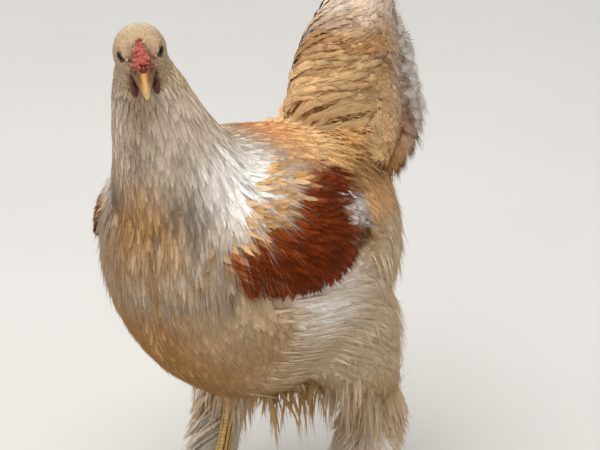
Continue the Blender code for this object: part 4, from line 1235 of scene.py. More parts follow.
def hackle():
    draw = np.random.default_rng(41)
    grid = neck_rings(0.001)
    places, homes = roots_on(grid, HACKLE_PITCH, HACKLE_SPACING, draw, low=0.10, high=0.99)
    roots, along = on_grid(grid, places)
    share = places[:, 0] / grid.shape[0]
    keep = near_surface(GUIDE, roots, within=0.008)
    roots, along, homes, share = roots[keep], along[keep], homes[keep], share[keep]
    low = 1 - share
    lengths = HACKLE_LENGTH + HACKLE_LENGTH_GAIN * soft_step(low, 0.0, 0.85)
    lengths = lengths * draw.uniform(0.85, 1.15, len(roots))
    lengths *= 1 - 0.30 * soft_step(roots[:, 1], -0.11, -0.05) * soft_step(low, 0.4, 0.8)
    headings = unit(-along + draw.normal(0, 0.07, roots.shape))

    def pull(at):
        behind = soft_step(at[:, 1], -0.12, -0.05)[:, None]
        return np.array((0, 0.0, -0.30)) + behind * np.array((0, 0.22, 0.10))

    lift = (0.0006 + 0.0010 * soft_step(low, 0.1, 0.7)) * draw.uniform(0.5, 1.5, len(roots))
    lines, ups = lay(GUIDE, roots, headings, lengths, 6, depth=0.0035, lift=lift, pull=pull)
    widths = HACKLE_HALF_WIDTH + HACKLE_WIDTH_GAIN * soft_step(low, 0.0, 0.6)
    widths = widths * draw.uniform(0.8, 1.15, len(roots))
    colours = hackle_colour(lines[:, 4], share, draw)
    shapes = shape_set(5, draw, outline=LANCE, barbs=12, fray=0.95, first=0.25, ridge=0.08)
    coat = add_mixed(Coat(), shapes, lines, ups, widths, colours, homes, draw, shade=silky)
    finish_piece(coat.build("hackle", HACKLE_FEATHER), "cream_feather", "neck")


hackle()

# %% [markdown]
# ## The saddle
#
# Behind the wings' upper edges the back carries golden saddle feathers, nearly as long and silky as the
# hackle, which run back and fall to both sides over the wing tips and the root of the tail.

# %% Saddle feathers
SADDLE_LENGTH = 0.050
SADDLE_HALF_WIDTH = 0.0046
SADDLE_CUSHION = 0.009


def saddle():
    draw = np.random.default_rng(51)
    grid = torso_rings(0.001)
    places, homes = roots_on(grid, pitch=0.0058, spacing=0.0050, draw=draw)
    roots, _ = on_grid(grid, places)
    reach = np.abs(np.arctan2(roots[:, 0], roots[:, 2] - 0.32))
    keep = (roots[:, 1] > -0.035) & (roots[:, 1] < 0.118) & (reach < 0.85)
    roots, homes = roots[keep], homes[keep]
    aside = np.sign(roots[:, 0]) * np.minimum(np.abs(roots[:, 0]) / 0.05, 1.0)
    headings = np.stack([0.30 * aside, np.ones(len(roots)), -0.1 * np.abs(aside)], -1)
    headings = unit(headings + draw.normal(0, 0.10, headings.shape))
    lengths = SADDLE_LENGTH * draw.uniform(0.8, 1.2, len(roots))
    lift = 0.0010 + 0.0016 * draw.uniform(0, 1, len(roots))

    def pull(at):
        return np.stack([0.10 * np.sign(at[:, 0]) * (np.abs(at[:, 0]) > 0.01), 0.1 + 0 * at[:, 1],
                         -0.30 * np.abs(at[:, 0]) / 0.08], -1)

    # Where the back meets the tail they stand up against it like a cushion.
    cushion = SADDLE_CUSHION * soft_step(roots[:, 1], 0.005, 0.060)
    cushion = cushion * soft_step(-np.abs(roots[:, 0]), -0.065, -0.030)
    curl = (cushion * draw.uniform(0.5, 1.2, len(roots)))[:, None]
    lines, ups = lay(GUIDE, roots, headings, lengths, 6, depth=0.004, lift=lift, pull=pull, curl=curl)
    widths = SADDLE_HALF_WIDTH * draw.uniform(0.8, 1.2, len(roots))
    colours = painted(lines[:, 4], "gold", [
        ("orange", (0.0, 0.020, 0.462), (0.045, 0.05, 0.03), 0.9),
        ("pale_gold", (0.050, 0.030, 0.445), (0.024, 0.040, 0.020), 0.9),
        # Painted light: paler gold on the cushion's front, which lies in shade.
        ("pale_gold", (0.020, 0.060, 0.448), (0.045, 0.030, 0.020), 0.8),
        # Painted shade: brown in the hollows between the cushion's feathers.
        ("umber", (0.060, 0.076, 0.414), (0.030, 0.026, 0.014), 0.45),
        ("umber", (0.070, 0.104, 0.408), (0.030, 0.030, 0.024), 0.5),
        ("dark_chestnut", (0.068, 0.118, 0.412), (0.022, 0.018, 0.014), 0.6),
        ("chestnut", (0.086, 0.006, 0.420), (0.022, 0.020, 0.016), 0.9),
        ("dark_chestnut", (0.072, 0.055, 0.402), (0.018, 0.014, 0.016), 0.7),
        ("white", (0.094, 0.032, 0.384), (0.030, 0.018, 0.014), 1.0),
        ("olive", (0.101, 0.040, 0.358), (0.030, 0.018, 0.012), 0.9),
    ])
    shapes = shape_set(5, draw, outline=LANCE, barbs=14, fray=0.95, first=0.25, ridge=0.08, reach=0.4)
    coat = add_mixed(Coat(), shapes, lines, ups, widths, colours, homes, draw, shade=silky)
    finish_piece(coat.build("saddle_feathers", HACKLE_FEATHER), "gold_feather", "saddle")


saddle()

# %% [markdown]
# ## The wings
#
# A folded wing shows its flight feathers along the lower edge, stacked like the leaves of a fan, and tiers
# of coverts above them like roof tiles. The bow at the shoulder is white, the coverts below it gold with
# frayed brown tips, and the bay over the flight feathers is a deep chestnut. Each tier stands back from
# the tips of the one below it by a share of the feathers' length.

# %% Wing feathers
# Tips of the fan: y, z, slant below level in degrees, length.
WING_FAN = [
    (-0.108, 0.352, 66, 0.040),
    (-0.080, 0.342, 60, 0.060),
    (-0.050, 0.335, 54, 0.076),
    (-0.020, 0.332, 47, 0.088),
    (0.008, 0.337, 40, 0.092),
    (0.030, 0.354, 33, 0.090),
    (0.042, 0.380, 26, 0.084),
    (0.044, 0.406, 18, 0.076),
]
# Share by which the tips stand back, count, share of the length, half width, lift.
WING_TIERS = [
    (0.00, 19, 0.62, 0.0084, 0.0006),
    (0.10, 22, 0.52, 0.0074, 0.0011),
    (0.20, 25, 0.46, 0.0066, 0.0015),
    (0.30, 28, 0.42, 0.0060, 0.0019),
    (0.40, 30, 0.39, 0.0056, 0.0022),
    (0.50, 30, 0.37, 0.0054, 0.0025),
    (0.60, 30, 0.35, 0.0052, 0.0027),
    (0.70, 29, 0.32, 0.0050, 0.0028),
    (0.79, 27, 0.30, 0.0048, 0.0028),
    (0.88, 25, 0.27, 0.0046, 0.0027),
]
QUILL = [(0.0, 0.16), (0.12, 0.62), (0.3, 0.92), (0.55, 1.0), (0.78, 0.94), (0.9, 0.70), (0.98, 0.30)]
WING_STEPS = 8
LESSER_LENGTH = 0.033
LESSER_HALF_WIDTH = 0.0036
# Where white turns to gold and gold to chestnut on the wing: y and height.
WHITE_EDGE = [(-0.152, 0.404), (-0.123, 0.420), (-0.094, 0.437), (-0.062, 0.452), (-0.029, 0.462)]
CHESTNUT_EDGE = [(-0.155, 0.372), (-0.146, 0.385), (-0.130, 0.395), (-0.099, 0.404), (-0.061, 0.419),
                 (-0.014, 0.435), (0.041, 0.442)]


def wing_swell(y, z):
    """How far the wing's cushion stands off the body at these places."""
    low, high, thick = np.moveaxis(curve(WING, np.clip(y, WING[0][0], WING[-1][0])), -1, 0)
    u = np.clip((z - low) / (high - low), 0, 1)
    inside = (y > WING[0][0]) & (y < WING[-1][0])
    return thick * np.sqrt(1 - (2 * u - 1) ** 4) * inside


def wing_colour(points, draw):
    """White bow, golden coverts and chestnut bay, with a ragged edge between them."""
    y = points[:, 1]
    z = points[:, 2] + draw.normal(0, 0.005, len(points))
    white = soft_step(z - np.interp(y, *zip(*WHITE_EDGE)), -0.006, 0.006)
    ahead = soft_step(-y + draw.normal(0, 0.004, len(y)), 0.120, 0.138)
    bay = soft_step(np.interp(y, *zip(*CHESTNUT_EDGE)) - z, -0.003, 0.007) * (1 - ahead)
    behind = soft_step(y + draw.normal(0, 0.004, len(y)), 0.014, 0.026) * soft_step(-z, -0.406, -0.394)
    made = mixed(plain("gold", len(points)), INK["pale_gold"], draw.uniform(0.1, 0.7, len(points)))
    made = mixed(made, INK["umber"], 0.42 * draw.uniform(0, 1, len(points)) ** 2)
    made = mixed(made, INK["flank"], ahead)
    made = mixed(made, INK["white"], np.maximum(white, behind))
    made = mixed(made, INK["olive"], behind * soft_step(-z, -0.384, -0.374))
    rust = mixed(plain("chestnut", len(points)), INK["dark_chestnut"], draw.uniform(0, 0.8, len(points)))
    return mixed(made, rust, bay * (1 - behind))


def frayed(tone, u, s, luck):
    """Covert tips are frayed and brown. The root is darker, partly greyer down and partly painted shade
    under the feathers that lie over it.
    """
    level = 0.84 + 0.18 * soft_step(s, 0.1, 0.55) - 0.06 * np.exp(-((u / 0.12) ** 2))
    tip = soft_step(s, 0.80, 1.05) * (luck < 0.5) * 0.30
    return tone * (level * (1 - tip))[..., None]


def wing_feathers(word):
    side = SIDES[word]
    draw = np.random.default_rng(61)
    quill_shapes = shape_set(4, draw, outline=QUILL, barbs=20, fray=0.45, first=0.35, columns=4,
                             ridge=0.08)
    covert_shapes = shape_set(5, draw, outline=LANCE, barbs=14, fray=0.95)
    pieces = {"wing_quills": Coat(), "wing_coverts": Coat()}
    for tier, (back, count, share, half_width, lift) in enumerate(WING_TIERS):
        k = np.clip((np.arange(count) + draw.uniform(-0.2, 0.2, count)) / (count - 1), 0, 1)
        y, z, slant, length = along_rows(WING_FAN, k).T
        slant = np.radians(slant + draw.normal(0, 2.5, count))
        way = np.stack([0 * y, np.cos(slant), -np.sin(slant)], -1)
        setback = length * (back + draw.uniform(-0.03, 0.03, count))
        tip = np.stack([0 * y, y, z], -1) - way * setback[:, None]
        lines, ups = np.empty((count, WING_STEPS + 1, 3)), np.empty((count, WING_STEPS + 1, 3))
        for i in range(WING_STEPS + 1):
            t = i / WING_STEPS
            at = tip - way * (length * share * (1 - t))[:, None]
            place, out = on_torso(at[:, 1], at[:, 2], side)
            rise = wing_swell(at[:, 1], at[:, 2]) + lift * (0.5 + 0.5 * t) - 0.004 * (1 - t) ** 3
            fan = 0.0012 * (k - 0.5) + 0.0010
            lines[:, i] = place + out * (0.0022 + rise + fan)[:, None]
            ups[:, i] = unit(out + np.array((0, 0.06, 0.12)))
        colours = wing_colour(lines[:, int(WING_STEPS * 0.75)], draw)
        widths = half_width * (1.0 if tier < 2 else 0.80) * draw.uniform(0.85, 1.15, count)
        homes = np.stack([k * 0.9 + 0.05, np.full(count, (tier + 0.5) / len(WING_TIERS))], -1)
        kind = "wing_quills" if tier < 2 else "wing_coverts"
        shapes = quill_shapes if tier < 2 else covert_shapes
        add_mixed(pieces[kind], shapes, lines, ups, widths, colours, homes, draw, shade=frayed,
                  roll=0.14 * side)
    lesser_coverts(pieces["wing_coverts"], covert_shapes, side, draw)
    quills = pieces["wing_quills"].build(f"wing_quills_{word}", QUILL_FEATHER)
    finish_piece(quills, "chestnut_feather", f"wing_{word}")
    finish_piece(pieces["wing_coverts"].build(f"wing_coverts_{word}", SOFT_FEATHER), "gold_feather")


def lesser_coverts(coat, shapes, side, draw):
    """Small feathers over the whole wing cushion, so that no gap shows between the tiers."""
    grid = wing_rings(side)[:, :14]
    ring, up = np.meshgrid(np.arange(0.5, 27, 0.75), np.arange(3.0, 13.4, 0.70))
    ring = (ring + draw.uniform(-0.4, 0.4, ring.shape)).ravel()
    up = (up + draw.uniform(-0.4, 0.4, up.shape)).ravel()
    i, j = np.clip(ring.astype(int), 0, 26), np.clip(up.astype(int), 0, 12)
    corner = grid[i, j]
    onward, upward = grid[i + 1, j] - corner, grid[i, j + 1] - corner
    roots = corner + onward * (ring % 1)[:, None] + upward * (up % 1)[:, None]
    headings = unit(np.array((0, 0.80, -0.62)) + draw.normal(0, 0.12, roots.shape))
    lengths = LESSER_LENGTH * draw.uniform(0.85, 1.2, len(roots))
    lift = 0.0026 + 0.0010 * draw.uniform(0, 1, len(roots))
    lines, ups = lay(GUIDE, roots, headings, lengths, STEPS, depth=0.003, lift=lift)
    homes = np.stack([ring / 28, up / 14], -1)
    widths = LESSER_HALF_WIDTH * draw.uniform(0.8, 1.15, len(roots))
    add_mixed(coat, shapes, lines, ups, widths, wing_colour(lines[:, 3], draw), homes, draw, shade=frayed)


for word in SIDES:
    wing_feathers(word)

# %% [markdown]
# ## The tail
#
# A Brahma's tail is a low, wide bush: two fans of main feathers set like the sides of a steep roof, and
# over them soft coverts in tiers that curl outwards at their ends. The main feathers are whitish, painted
# grey where they lie in shade, the coverts golden, and the hollows of the curls are painted brown as shade.
# Each feather is bent along a smooth curve between four handles, from its root over a bow to its hanging
# end. Silky coverts then sweep from the saddle over both sides, and on the left over the front as well,
# because the tail is turned a little.

# %% Tail feathers
TAIL_FAN = (0.104, 0.412)
# Inmost tier first: count, steepest and flattest rise in degrees, distance of the roots from the fan's
# point, distance of the steepest and the flattest tip, their distance from the middle and that of the
# roots, half width, curl.
TAIL_TIERS = [
    (10, 60, 0, 0.045, 0.150, 0.100, 0.000, 0.010, 0.003, 0.0110, 0.05),
    (10, 63, 4, 0.045, 0.172, 0.114, 0.003, 0.026, 0.006, 0.0110, 0.05),
    (10, 66, 12, 0.045, 0.192, 0.128, 0.006, 0.044, 0.010, 0.0105, 0.05),
    (10, 67, 6, 0.042, 0.176, 0.118, 0.015, 0.050, 0.018, 0.0105, 0.12),
    (11, 68, 0, 0.036, 0.158, 0.106, 0.025, 0.056, 0.024, 0.0108, 0.20),
    (10, 67, -8, 0.030, 0.141, 0.098, 0.033, 0.060, 0.029, 0.0108, 0.26),
    (10, 66, -14, 0.022, 0.124, 0.088, 0.040, 0.063, 0.034, 0.0108, 0.32),
    (9, 64, -22, 0.014, 0.106, 0.076, 0.046, 0.065, 0.038, 0.0104, 0.36),
    (9, 62, -32, 0.006, 0.088, 0.064, 0.050, 0.066, 0.040, 0.0100, 0.40),
    (8, 58, -40, 0.000, 0.070, 0.050, 0.052, 0.064, 0.042, 0.0092, 0.40),
]
TAIL_STEPS = 10
TAIL_DENSITY = 1.7
TAIL_SLIM = 0.72
SWEEP_HALF_WIDTH = 0.0050
FRONT_HALF_WIDTH = 0.0058
# The umber patches are painted shade in the hollows between the curls, and the pale grey ones are white
# greyed as painted shade.
TAIL_PATCHES = [
    ("pale_gold", (0.02, 0.105, 0.480), (0.06, 0.03, 0.030), 0.4),
    # Painted light: a paler gold over the tail's root, which lies in shade.
    ("gold", (0.02, 0.050, 0.445), (0.06, 0.030, 0.024), 0.8),
    ("blush", (0.01, 0.130, 0.565), (0.06, 0.07, 0.036), 1.0),
    ("white_in_shade", (0.03, 0.110, 0.538), (0.04, 0.03, 0.016), 0.5),
    ("white_in_shade", (0.05, 0.180, 0.480), (0.06, 0.036, 0.085), 1.0),
    ("white", (0.05, 0.202, 0.480), (0.06, 0.026, 0.085), 0.7),
    # Painted shade: umber in the hollows between the curls, to the end of the list but one.
    ("umber", (0.025, 0.094, 0.514), (0.045, 0.036, 0.024), 0.50),
    ("white_in_shade", (0.028, 0.108, 0.541), (0.040, 0.030, 0.014), 0.75),
    ("umber", (0.004, 0.080, 0.504), (0.032, 0.018, 0.014), 0.8),
    ("umber", (0.038, 0.096, 0.513), (0.016, 0.014, 0.010), 0.9),
    ("umber", (0.028, 0.107, 0.537), (0.024, 0.014, 0.008), 0.85),
    ("umber", (0.057, 0.107, 0.476), (0.016, 0.014, 0.012), 0.85),
    ("umber", (0.054, 0.133, 0.498), (0.016, 0.012, 0.009), 0.8),
    ("umber", (0.055, 0.104, 0.450), (0.018, 0.022, 0.008), 0.85),
    # Painted light: a paler gold over the tail's root, which lies in shade.
    ("gold", (0.02, 0.088, 0.460), (0.06, 0.034, 0.022), 0.7),
]
# The low curls, on short feathers only.
CURL_PATCHES = [
    ("chestnut", (0.061, 0.138, 0.430), (0.028, 0.024, 0.018), 1.0),
    ("dark_chestnut", (0.060, 0.122, 0.404), (0.028, 0.026, 0.016), 0.85),
]


def tail_limit(rise):
    """How far the tail reaches from the fan's point at this rise, in radians."""
    rises = [-40, -20, 0, 15, 30, 50, 68]
    return np.interp(np.degrees(rise), rises, [0.050, 0.064, 0.086, 0.106, 0.122, 0.156, 0.196])


def held_in(points):
    """Eases points back that reach further behind than the bird does."""
    past = np.maximum(points[..., 1] - 0.190, 0)
    points[..., 1] += 0.026 * (1 - np.exp(-past / 0.026)) - past
    return points


def curl_and_root_shade(tone, u, s, luck):
    """Tail coverts are darker at the root, partly greyer down and partly painted shade, and the darker ones
    carry painted shade at their ends, where they curl under.
    """
    level = 0.80 + 0.22 * soft_step(s, 0.15, 0.6) - 0.06 * np.exp(-((u / 0.10) ** 2))
    # Painted shade on the undersides of the curled ends.
    under = soft_step(s, 0.80, 1.0) * (luck < 0.5) * 0.45 * (tone.min(-1) < 0.35)
    return tone * (level * (1 - under))[..., None]


def tail_tier(tier, row, side, draw):
    """One tier on one side: lines, upward ways and half widths."""
    count, steep, flat, near, far, low, top_x, low_x, root_x, half_width, curl = row
    count = round(count * TAIL_DENSITY)
    share = (np.arange(count) + 0.5 * (tier % 2) + draw.uniform(-0.15, 0.15, count)) / (count - 0.5)
    rise = np.radians(steep + (flat - steep) * share + draw.normal(0, 2.0, count))
    ahead = np.stack([0 * rise, np.cos(rise), np.sin(rise)], -1)
    # The main feathers in the middle reach further behind than the coverts over them.
    further = 1 + 0.26 * (tier < 3) * soft_step(-np.degrees(rise), -50, -32)
    most = (0.72 + 0.28 * far / 0.192) * further * tail_limit(rise)
    reach = np.minimum((far + (low - far) * share) * further, most)
    reach = np.maximum(reach * draw.uniform(0.95, 1.04, count) - near, 0.022)[:, None]
    root = np.array((0, *TAIL_FAN)) + ahead * near + np.array((side * root_x, 0, 0))
    bow = np.stack([side * (top_x + (low_x - top_x) * share - root_x), 0 * share, 0 * share], -1)
    droop = np.array((side * 0.25, 0.35, -1.0)) * curl * reach * draw.uniform(0.4, 0.8, (count, 1))
    over = np.stack([0 * rise, -ahead[:, 2], ahead[:, 1]], -1)
    # Each feather rises steeper than its tip lies, and arches over.
    arch = reach * (0.10 + 0.34 * curl) * (0.6 + 0.6 * share[:, None])
    handles = (
        root,
        root + ahead * reach * 0.38 + bow * 0.5 + over * arch,
        root + ahead * reach * 0.88 + bow * 1.1 + over * arch * 1.2,
        root + ahead * reach + bow + droop,
    )
    lines = bent(handles, TAIL_STEPS)
    out = unit(np.array((side, 0, 0)) + over * (0.7 - 0.9 * share)[:, None])
    ups = np.repeat(out[:, None], TAIL_STEPS + 1, 1)
    return held_in(lines), ups, TAIL_SLIM * half_width * draw.uniform(0.85, 1.15, count), share


def tail_front(draw):
    """Coverts over the front and the top of the tail's root, and under its rear."""
    lines, ups = [], []
    rows = [
        (0.018, 66, 0.078, 0.070, 9, 0.016),
        (0.023, 67, 0.050, 0.064, 11, 0.022),
        (0.028, 68, 0.026, 0.060, 13, 0.028),
        (0.032, 66, 0.006, 0.054, 15, 0.034),
    ]
    for height, rise, start, reach, count, wide in rows:
        for x in np.linspace(-wide, wide, count):
            angle = math.radians(rise + draw.normal(0, 2.5))
            ahead = np.array((0, math.cos(angle), math.sin(angle)))
            over = np.array((0, -math.sin(angle), math.cos(angle)))
            start_here = start + draw.uniform(-0.006, 0.006)
            root = np.array((x * 0.8, *TAIL_FAN)) + over * (height - 0.25 * abs(x)) + ahead * start_here
            long = reach * draw.uniform(0.85, 1.1)
            aside = np.array((x * 0.5 + draw.normal(0, 0.004), 0, 0))
            tip = root + ahead * long + aside - over * (0.30 * long)
            handles = [root - over * 0.006, root + ahead * long * 0.4 + over * 0.006,
                       tip - ahead * long * 0.22 + over * 0.010, tip]
            lines.append(bent([h[None] for h in handles], TAIL_STEPS)[0])
            ups.append(np.repeat(unit(over + np.array((x * 20, 0, 0)))[None], TAIL_STEPS + 1, 0))
    under_rows = [
        (0.012, 14, 0.074, 13, 0.022),
        (0.016, 2, 0.060, 15, 0.030),
        (0.020, -10, 0.050, 17, 0.034),
        (0.022, -24, 0.042, 17, 0.036),
        (0.022, -38, 0.036, 15, 0.036),
        (0.021, -50, 0.030, 13, 0.034),
    ]
    for height, rise, reach, count, wide in under_rows:
        for x in np.linspace(-wide, wide, count):
            angle = math.radians(rise + draw.normal(0, 3))
            ahead = np.array((0, math.cos(angle), math.sin(angle)))
            under = np.array((0, math.sin(angle), -math.cos(angle)))
            root = np.array((x, *TAIL_FAN)) + ahead * 0.018 + under * height
            long = reach * draw.uniform(0.85, 1.1)
            handles = [root, root + ahead * long * 0.4 + under * 0.008, root + ahead * long * 0.8,
                       root + ahead * long - np.array((0, 0, 0.1 * long))]
            lines.append(bent([h[None] for h in handles], TAIL_STEPS)[0])
            ups.append(np.repeat(unit(under + np.array((x * 12, 0, 0)))[None], TAIL_STEPS + 1, 0))
    return held_in(np.array(lines)), np.array(ups)


# The tail's side as a dome: shares of the fan's reach, and the distance from the middle there along the
# steepest and the flattest feather.
DOME_SHARES = [0.0, 0.37, 0.48, 0.57, 0.67, 0.75, 0.83, 0.92, 1.0]
DOME_TOP = [0.040, 0.052, 0.050, 0.046, 0.040, 0.033, 0.025, 0.015, 0.006]
DOME_LOW = [0.045, 0.064, 0.066, 0.065, 0.063, 0.060, 0.056, 0.050, 0.044]


TAIL_FRONT = 0.25


def on_dome(share, turn, side):
    """Points on the tail's side: share is the reach from the fan's point, turn goes from steep to flat.

    Turns below nought go round the steep edge to the middle of the tail's front, over a quarter of an
    ellipse. The ways out of the surface come with the points.
    """
    past = np.clip(-turn / TAIL_FRONT, 0, 1.8) * math.pi / 2
    kept = np.maximum(turn, 0)
    rise = np.radians(68 - 108 * kept)
    reach = tail_limit(rise) * share
    top, low = np.interp(share, DOME_SHARES, DOME_TOP), np.interp(share, DOME_SHARES, DOME_LOW)
    x = top * (1 - kept) + low * kept
    front = np.interp(share, [0, 0.3, 0.6, 1.0], [0.046, 0.036, 0.020, 0.006]) * np.sin(past)
    middle = np.stack([0 * x, TAIL_FAN[0] + reach * np.cos(rise), TAIL_FAN[1] + reach * np.sin(rise)], -1)
    aside, ahead = np.array((side, 0, 0)), np.array((0, -0.93, 0.37))
    points = middle + aside * (x * np.cos(past))[..., None] + ahead * front[..., None]
    bulge = unit(points - np.array((0, TAIL_FAN[0] + 0.04, TAIL_FAN[1] + 0.05)))
    return points, unit(bulge * 0.55 + aside * np.cos(past)[..., None] + ahead * np.sin(past)[..., None])


def sweeping_coverts(coat, side, draw):
    """Silky feathers that leave the saddle, sweep over the tail's side and curl down at their ends.

    The tail is turned a little, so those of the left side also cover the front.
    """
    rows = []
    first = -0.44 if side > 0 else -0.04
    for share in np.arange(0.04, 0.84, 0.038):
        count = max(5, round((0.30 * share + 0.05) * (0.80 - first) / 0.0056) + 2)
        turn = np.linspace(first, 0.78, count) + draw.uniform(-0.4, 0.4, count) / count
        rows.append(np.stack([share + draw.uniform(-0.02, 0.02, count), turn], -1))
    share, turn = np.concatenate(rows).T
    far = (0.30 + 0.10 * draw.uniform(-1, 1, len(share))) * (1.2 - 0.4 * share)
    sweep = (0.30 + 0.14 * draw.uniform(-1, 1, len(share))) * (1.15 - 0.7 * np.abs(turn))
    lines, ups = np.empty((len(share), TAIL_STEPS + 1, 3)), np.empty((len(share), TAIL_STEPS + 1, 3))
    for i in range(TAIL_STEPS + 1):
        t = i / TAIL_STEPS
        out = share + far * (t - 0.25 * t * t)
        over = turn + sweep * t**1.5
        lines[:, i], ups[:, i] = on_dome(np.minimum(out, 1.02), over, side)
        lines[:, i] += ups[:, i] * (-0.004 * (1 - t) ** 2 + 0.0035 * (1 - share) + 0.0025 * t)[:, None]
    # The very tips curl under.
    lines[:, -1, 2] -= 0.003
    lines[:, -1, 0] -= side * 0.002
    lines = held_in(lines)
    # The low feathers are long, so their colour is that of an earlier point.
    spots = lines[np.arange(len(lines)), np.where(turn > 0.35, 6, 7)]
    colours = painted(spots, "tail_gold", TAIL_PATCHES)
    colours = mixed(colours, INK["pale_gold"], 0.75 * soft_step(-share, -0.24, -0.08))
    for name, centre, reach, strength in CURL_PATCHES:
        far = (((np.abs(lines[:, 9]) - centre) / np.array(reach)) ** 2).sum(1)
        colours = mixed(colours, INK[name], strength * np.exp(-(far**1.5)) * soft_step(share, 0.24, 0.40))
    paler = 0.5 * draw.uniform(0, 1, len(share)) ** 2
    colours = mixed(colours, INK["pale_gold"], paler * (colours.min(-1) > 0.08))
    darker = 0.30 * draw.uniform(0, 1, len(share)) ** 2
    colours = mixed(colours, INK["umber"], darker * (colours.min(-1) < 0.4))
    homes = np.stack([np.clip(turn, 0, 1) * 0.4 + 0.5 * (side > 0) + 0.03, np.full(len(share), 0.95)], -1)
    widths = SWEEP_HALF_WIDTH * draw.uniform(0.75, 1.2, len(share))
    shapes = shape_set(5, draw, outline=LANCE, barbs=13, fray=0.9, first=0.25, reach=0.5)
    add_mixed(coat, shapes, lines, ups, widths, colours, homes, draw, shade=curl_and_root_shade)


def tail():
    draw = np.random.default_rng(71)
    shapes = shape_set(5, draw, outline=QUILL, barbs=26, fray=0.36, first=0.25, columns=4, ridge=0.08)
    quills, coverts = Coat(), Coat()
    for tier, row in enumerate(TAIL_TIERS):
        for side in SIDES.values():
            lines, ups, widths, share = tail_tier(tier, row, side, draw)
            base = "blush" if tier < 3 else "tail_gold"
            colours = painted(lines[:, 7], base, TAIL_PATCHES + CURL_PATCHES if tier > 2 else [])
            pale = colours.min(-1) > 0.35
            colours = mixed(colours, INK["umber"], draw.uniform(0, 0.40, len(lines)) * (tier > 2) * ~pale)
            homes = np.stack([(share * 0.4 + 0.5 * (side > 0)) * 0.9 + 0.03,
                              np.full(len(lines), (tier + 0.5) / 13)], -1)
            coat = coverts if tier > 2 else quills
            add_mixed(coat, shapes, lines, ups, widths, colours, homes, draw, shade=curl_and_root_shade,
                      roll=0.12 * side, camber=0.16)
    lines, ups = tail_front(draw)
    homes = np.stack([np.linspace(0.03, 0.97, len(lines)), np.full(len(lines), 0.85)], -1)
    colours = painted(lines[:, 8], "tail_gold", TAIL_PATCHES)
    low = soft_step(-lines[:, 6, 2], -0.44, -0.42)
    colours = mixed(colours, INK["cream"], 0.6 * low)
    widths = FRONT_HALF_WIDTH * draw.uniform(0.85, 1.15, len(lines))
    soft = shape_set(5, draw, outline=LANCE, barbs=14, fray=0.9, first=0.25, reach=0.5)
    add_mixed(coverts, soft, lines, ups, widths, colours, homes, draw, shade=curl_and_root_shade)
    sweep = Coat()
    for side in SIDES.values():
        sweeping_coverts(sweep, side, draw)
    finish_piece(sweep.build("tail_sweep", HACKLE_FEATHER), "gold_feather")
    finish_piece(quills.build("tail_quills", QUILL_FEATHER), "cream_feather", "tail")
    finish_piece(coverts.build("tail_coverts", SOFT_FEATHER), "gold_feather")


tail()

# %% [markdown]
# ## The head
#
# The breed's face is what one knows it by: a broad skull with heavy brows that half hide the eyes, a small
# pea comb of three low rows, short wattles and a stout, curved bill. The skin is built from the skull's
# rings, brows, cheeks, lids and ear lobes, made one surface in cubes of less than a millimetre, and then
# hollowed for the eyeballs, which sit behind the lids as real ones do. Short feathers cover it, and a
# ruff of longer ones leads over to the hackle.

# %% Skin of the head
EYE_AT = Vector((0.0138, -0.0085, 0.0078))
EYE_RADIUS = 0.0062
EYE_SLANT = math.radians(28)
HEAD_CUBE = 0.0008
TO_HEAD = HEAD_FRAME.inverted()


def ball(name, at, radii, lean=0.0, segments=32, rings=20, material=None, frame_of=HEAD_FRAME):
    """An ellipsoid in the head's frame. lean tips it about its own X, in degrees."""
    mesh = bpy.data.meshes.new(name)
    bm = bmesh.new()
    bmesh.ops.create_uvsphere(bm, u_segments=segments, v_segments=rings, radius=1)
    leaning = Matrix.Rotation(math.radians(lean), 4, "X")
    place = Matrix.Translation(at) @ leaning @ Matrix.Diagonal((*radii, 1))
    bmesh.ops.transform(bm, matrix=frame_of @ place, verts=bm.verts)
    bm.to_mesh(mesh)
    bm.free()
    if material:
        mesh.materials.append(material)
    mesh.shade_smooth()
    return add_object(name, mesh)


def cut(obj, cutter):
    """Takes one closed mesh out of another at once."""
    modifier = obj.modifiers.new("cut", "BOOLEAN")
    modifier.operation = "DIFFERENCE"
    modifier.solver = "MANIFOLD"
    modifier.object = cutter
    apply_modifiers(obj)
    bpy.data.objects.remove(cutter, do_unlink=True)
    obj.data.shade_smooth()
    return obj


def eye_place(side):
    """Where an eye looks out: its centre and a frame whose Z looks out of the head."""
    out = Vector((side * 0.90, -0.42, 0.10)).normalized()
    centre = Vector((side * EYE_AT.x, EYE_AT.y, EYE_AT.z))
    turn = out.to_track_quat("Z", "Y").to_matrix().to_4x4()
    return centre, out, turn @ Matrix.Rotation(-side * EYE_SLANT, 4, "Z")


def eyelids(side):
    """The rim of both lids, an almond that leaves a slanted opening over the eyeball."""
    centre, out, turn = eye_place(side)
    around = np.linspace(0, 2 * np.pi, 48, endpoint=False)
    half = 0.0032 * np.sin(around) * (1 - 0.50 * np.cos(2 * around))
    mid = np.stack([0.0060 * np.cos(around), half, 0 * around], -1)
    # The upper lid is thick and heavy, the lower one thin.
    thick = 0.0010 + 0.0005 * soft_step(np.sin(around), -0.2, 0.8)
    grid = limb_rings(np.concatenate([mid, mid[:1]]), np.stack([thick, thick], -1)[[*range(48), 0]],
                      (0, 0, 1), 12)
    grid = moved(grid, HEAD_FRAME @ Matrix.Translation(centre + out * 0.0042) @ turn)
    return ring_mesh("form", grid)


def head_forms(grow):
    """The skull with brows, cheeks and ear lobes."""
    forms = [ring_mesh("form", head_rings(grow))]
    for side in SIDES.values():
        forms.append(ball("form", Vector((side * 0.0125, -0.0085, 0.0133)),
                          (0.0052 + grow, 0.0125, 0.0036 + grow), 14))
        forms.append(ball("form", Vector((side * 0.0115, -0.0140, -0.0120)), (0.0062, 0.0080, 0.0062), 0))
        forms.append(ball("form", Vector((side * 0.0198, 0.0090, -0.0130)), (0.0028, 0.0046, 0.0070), 0))
    return forms


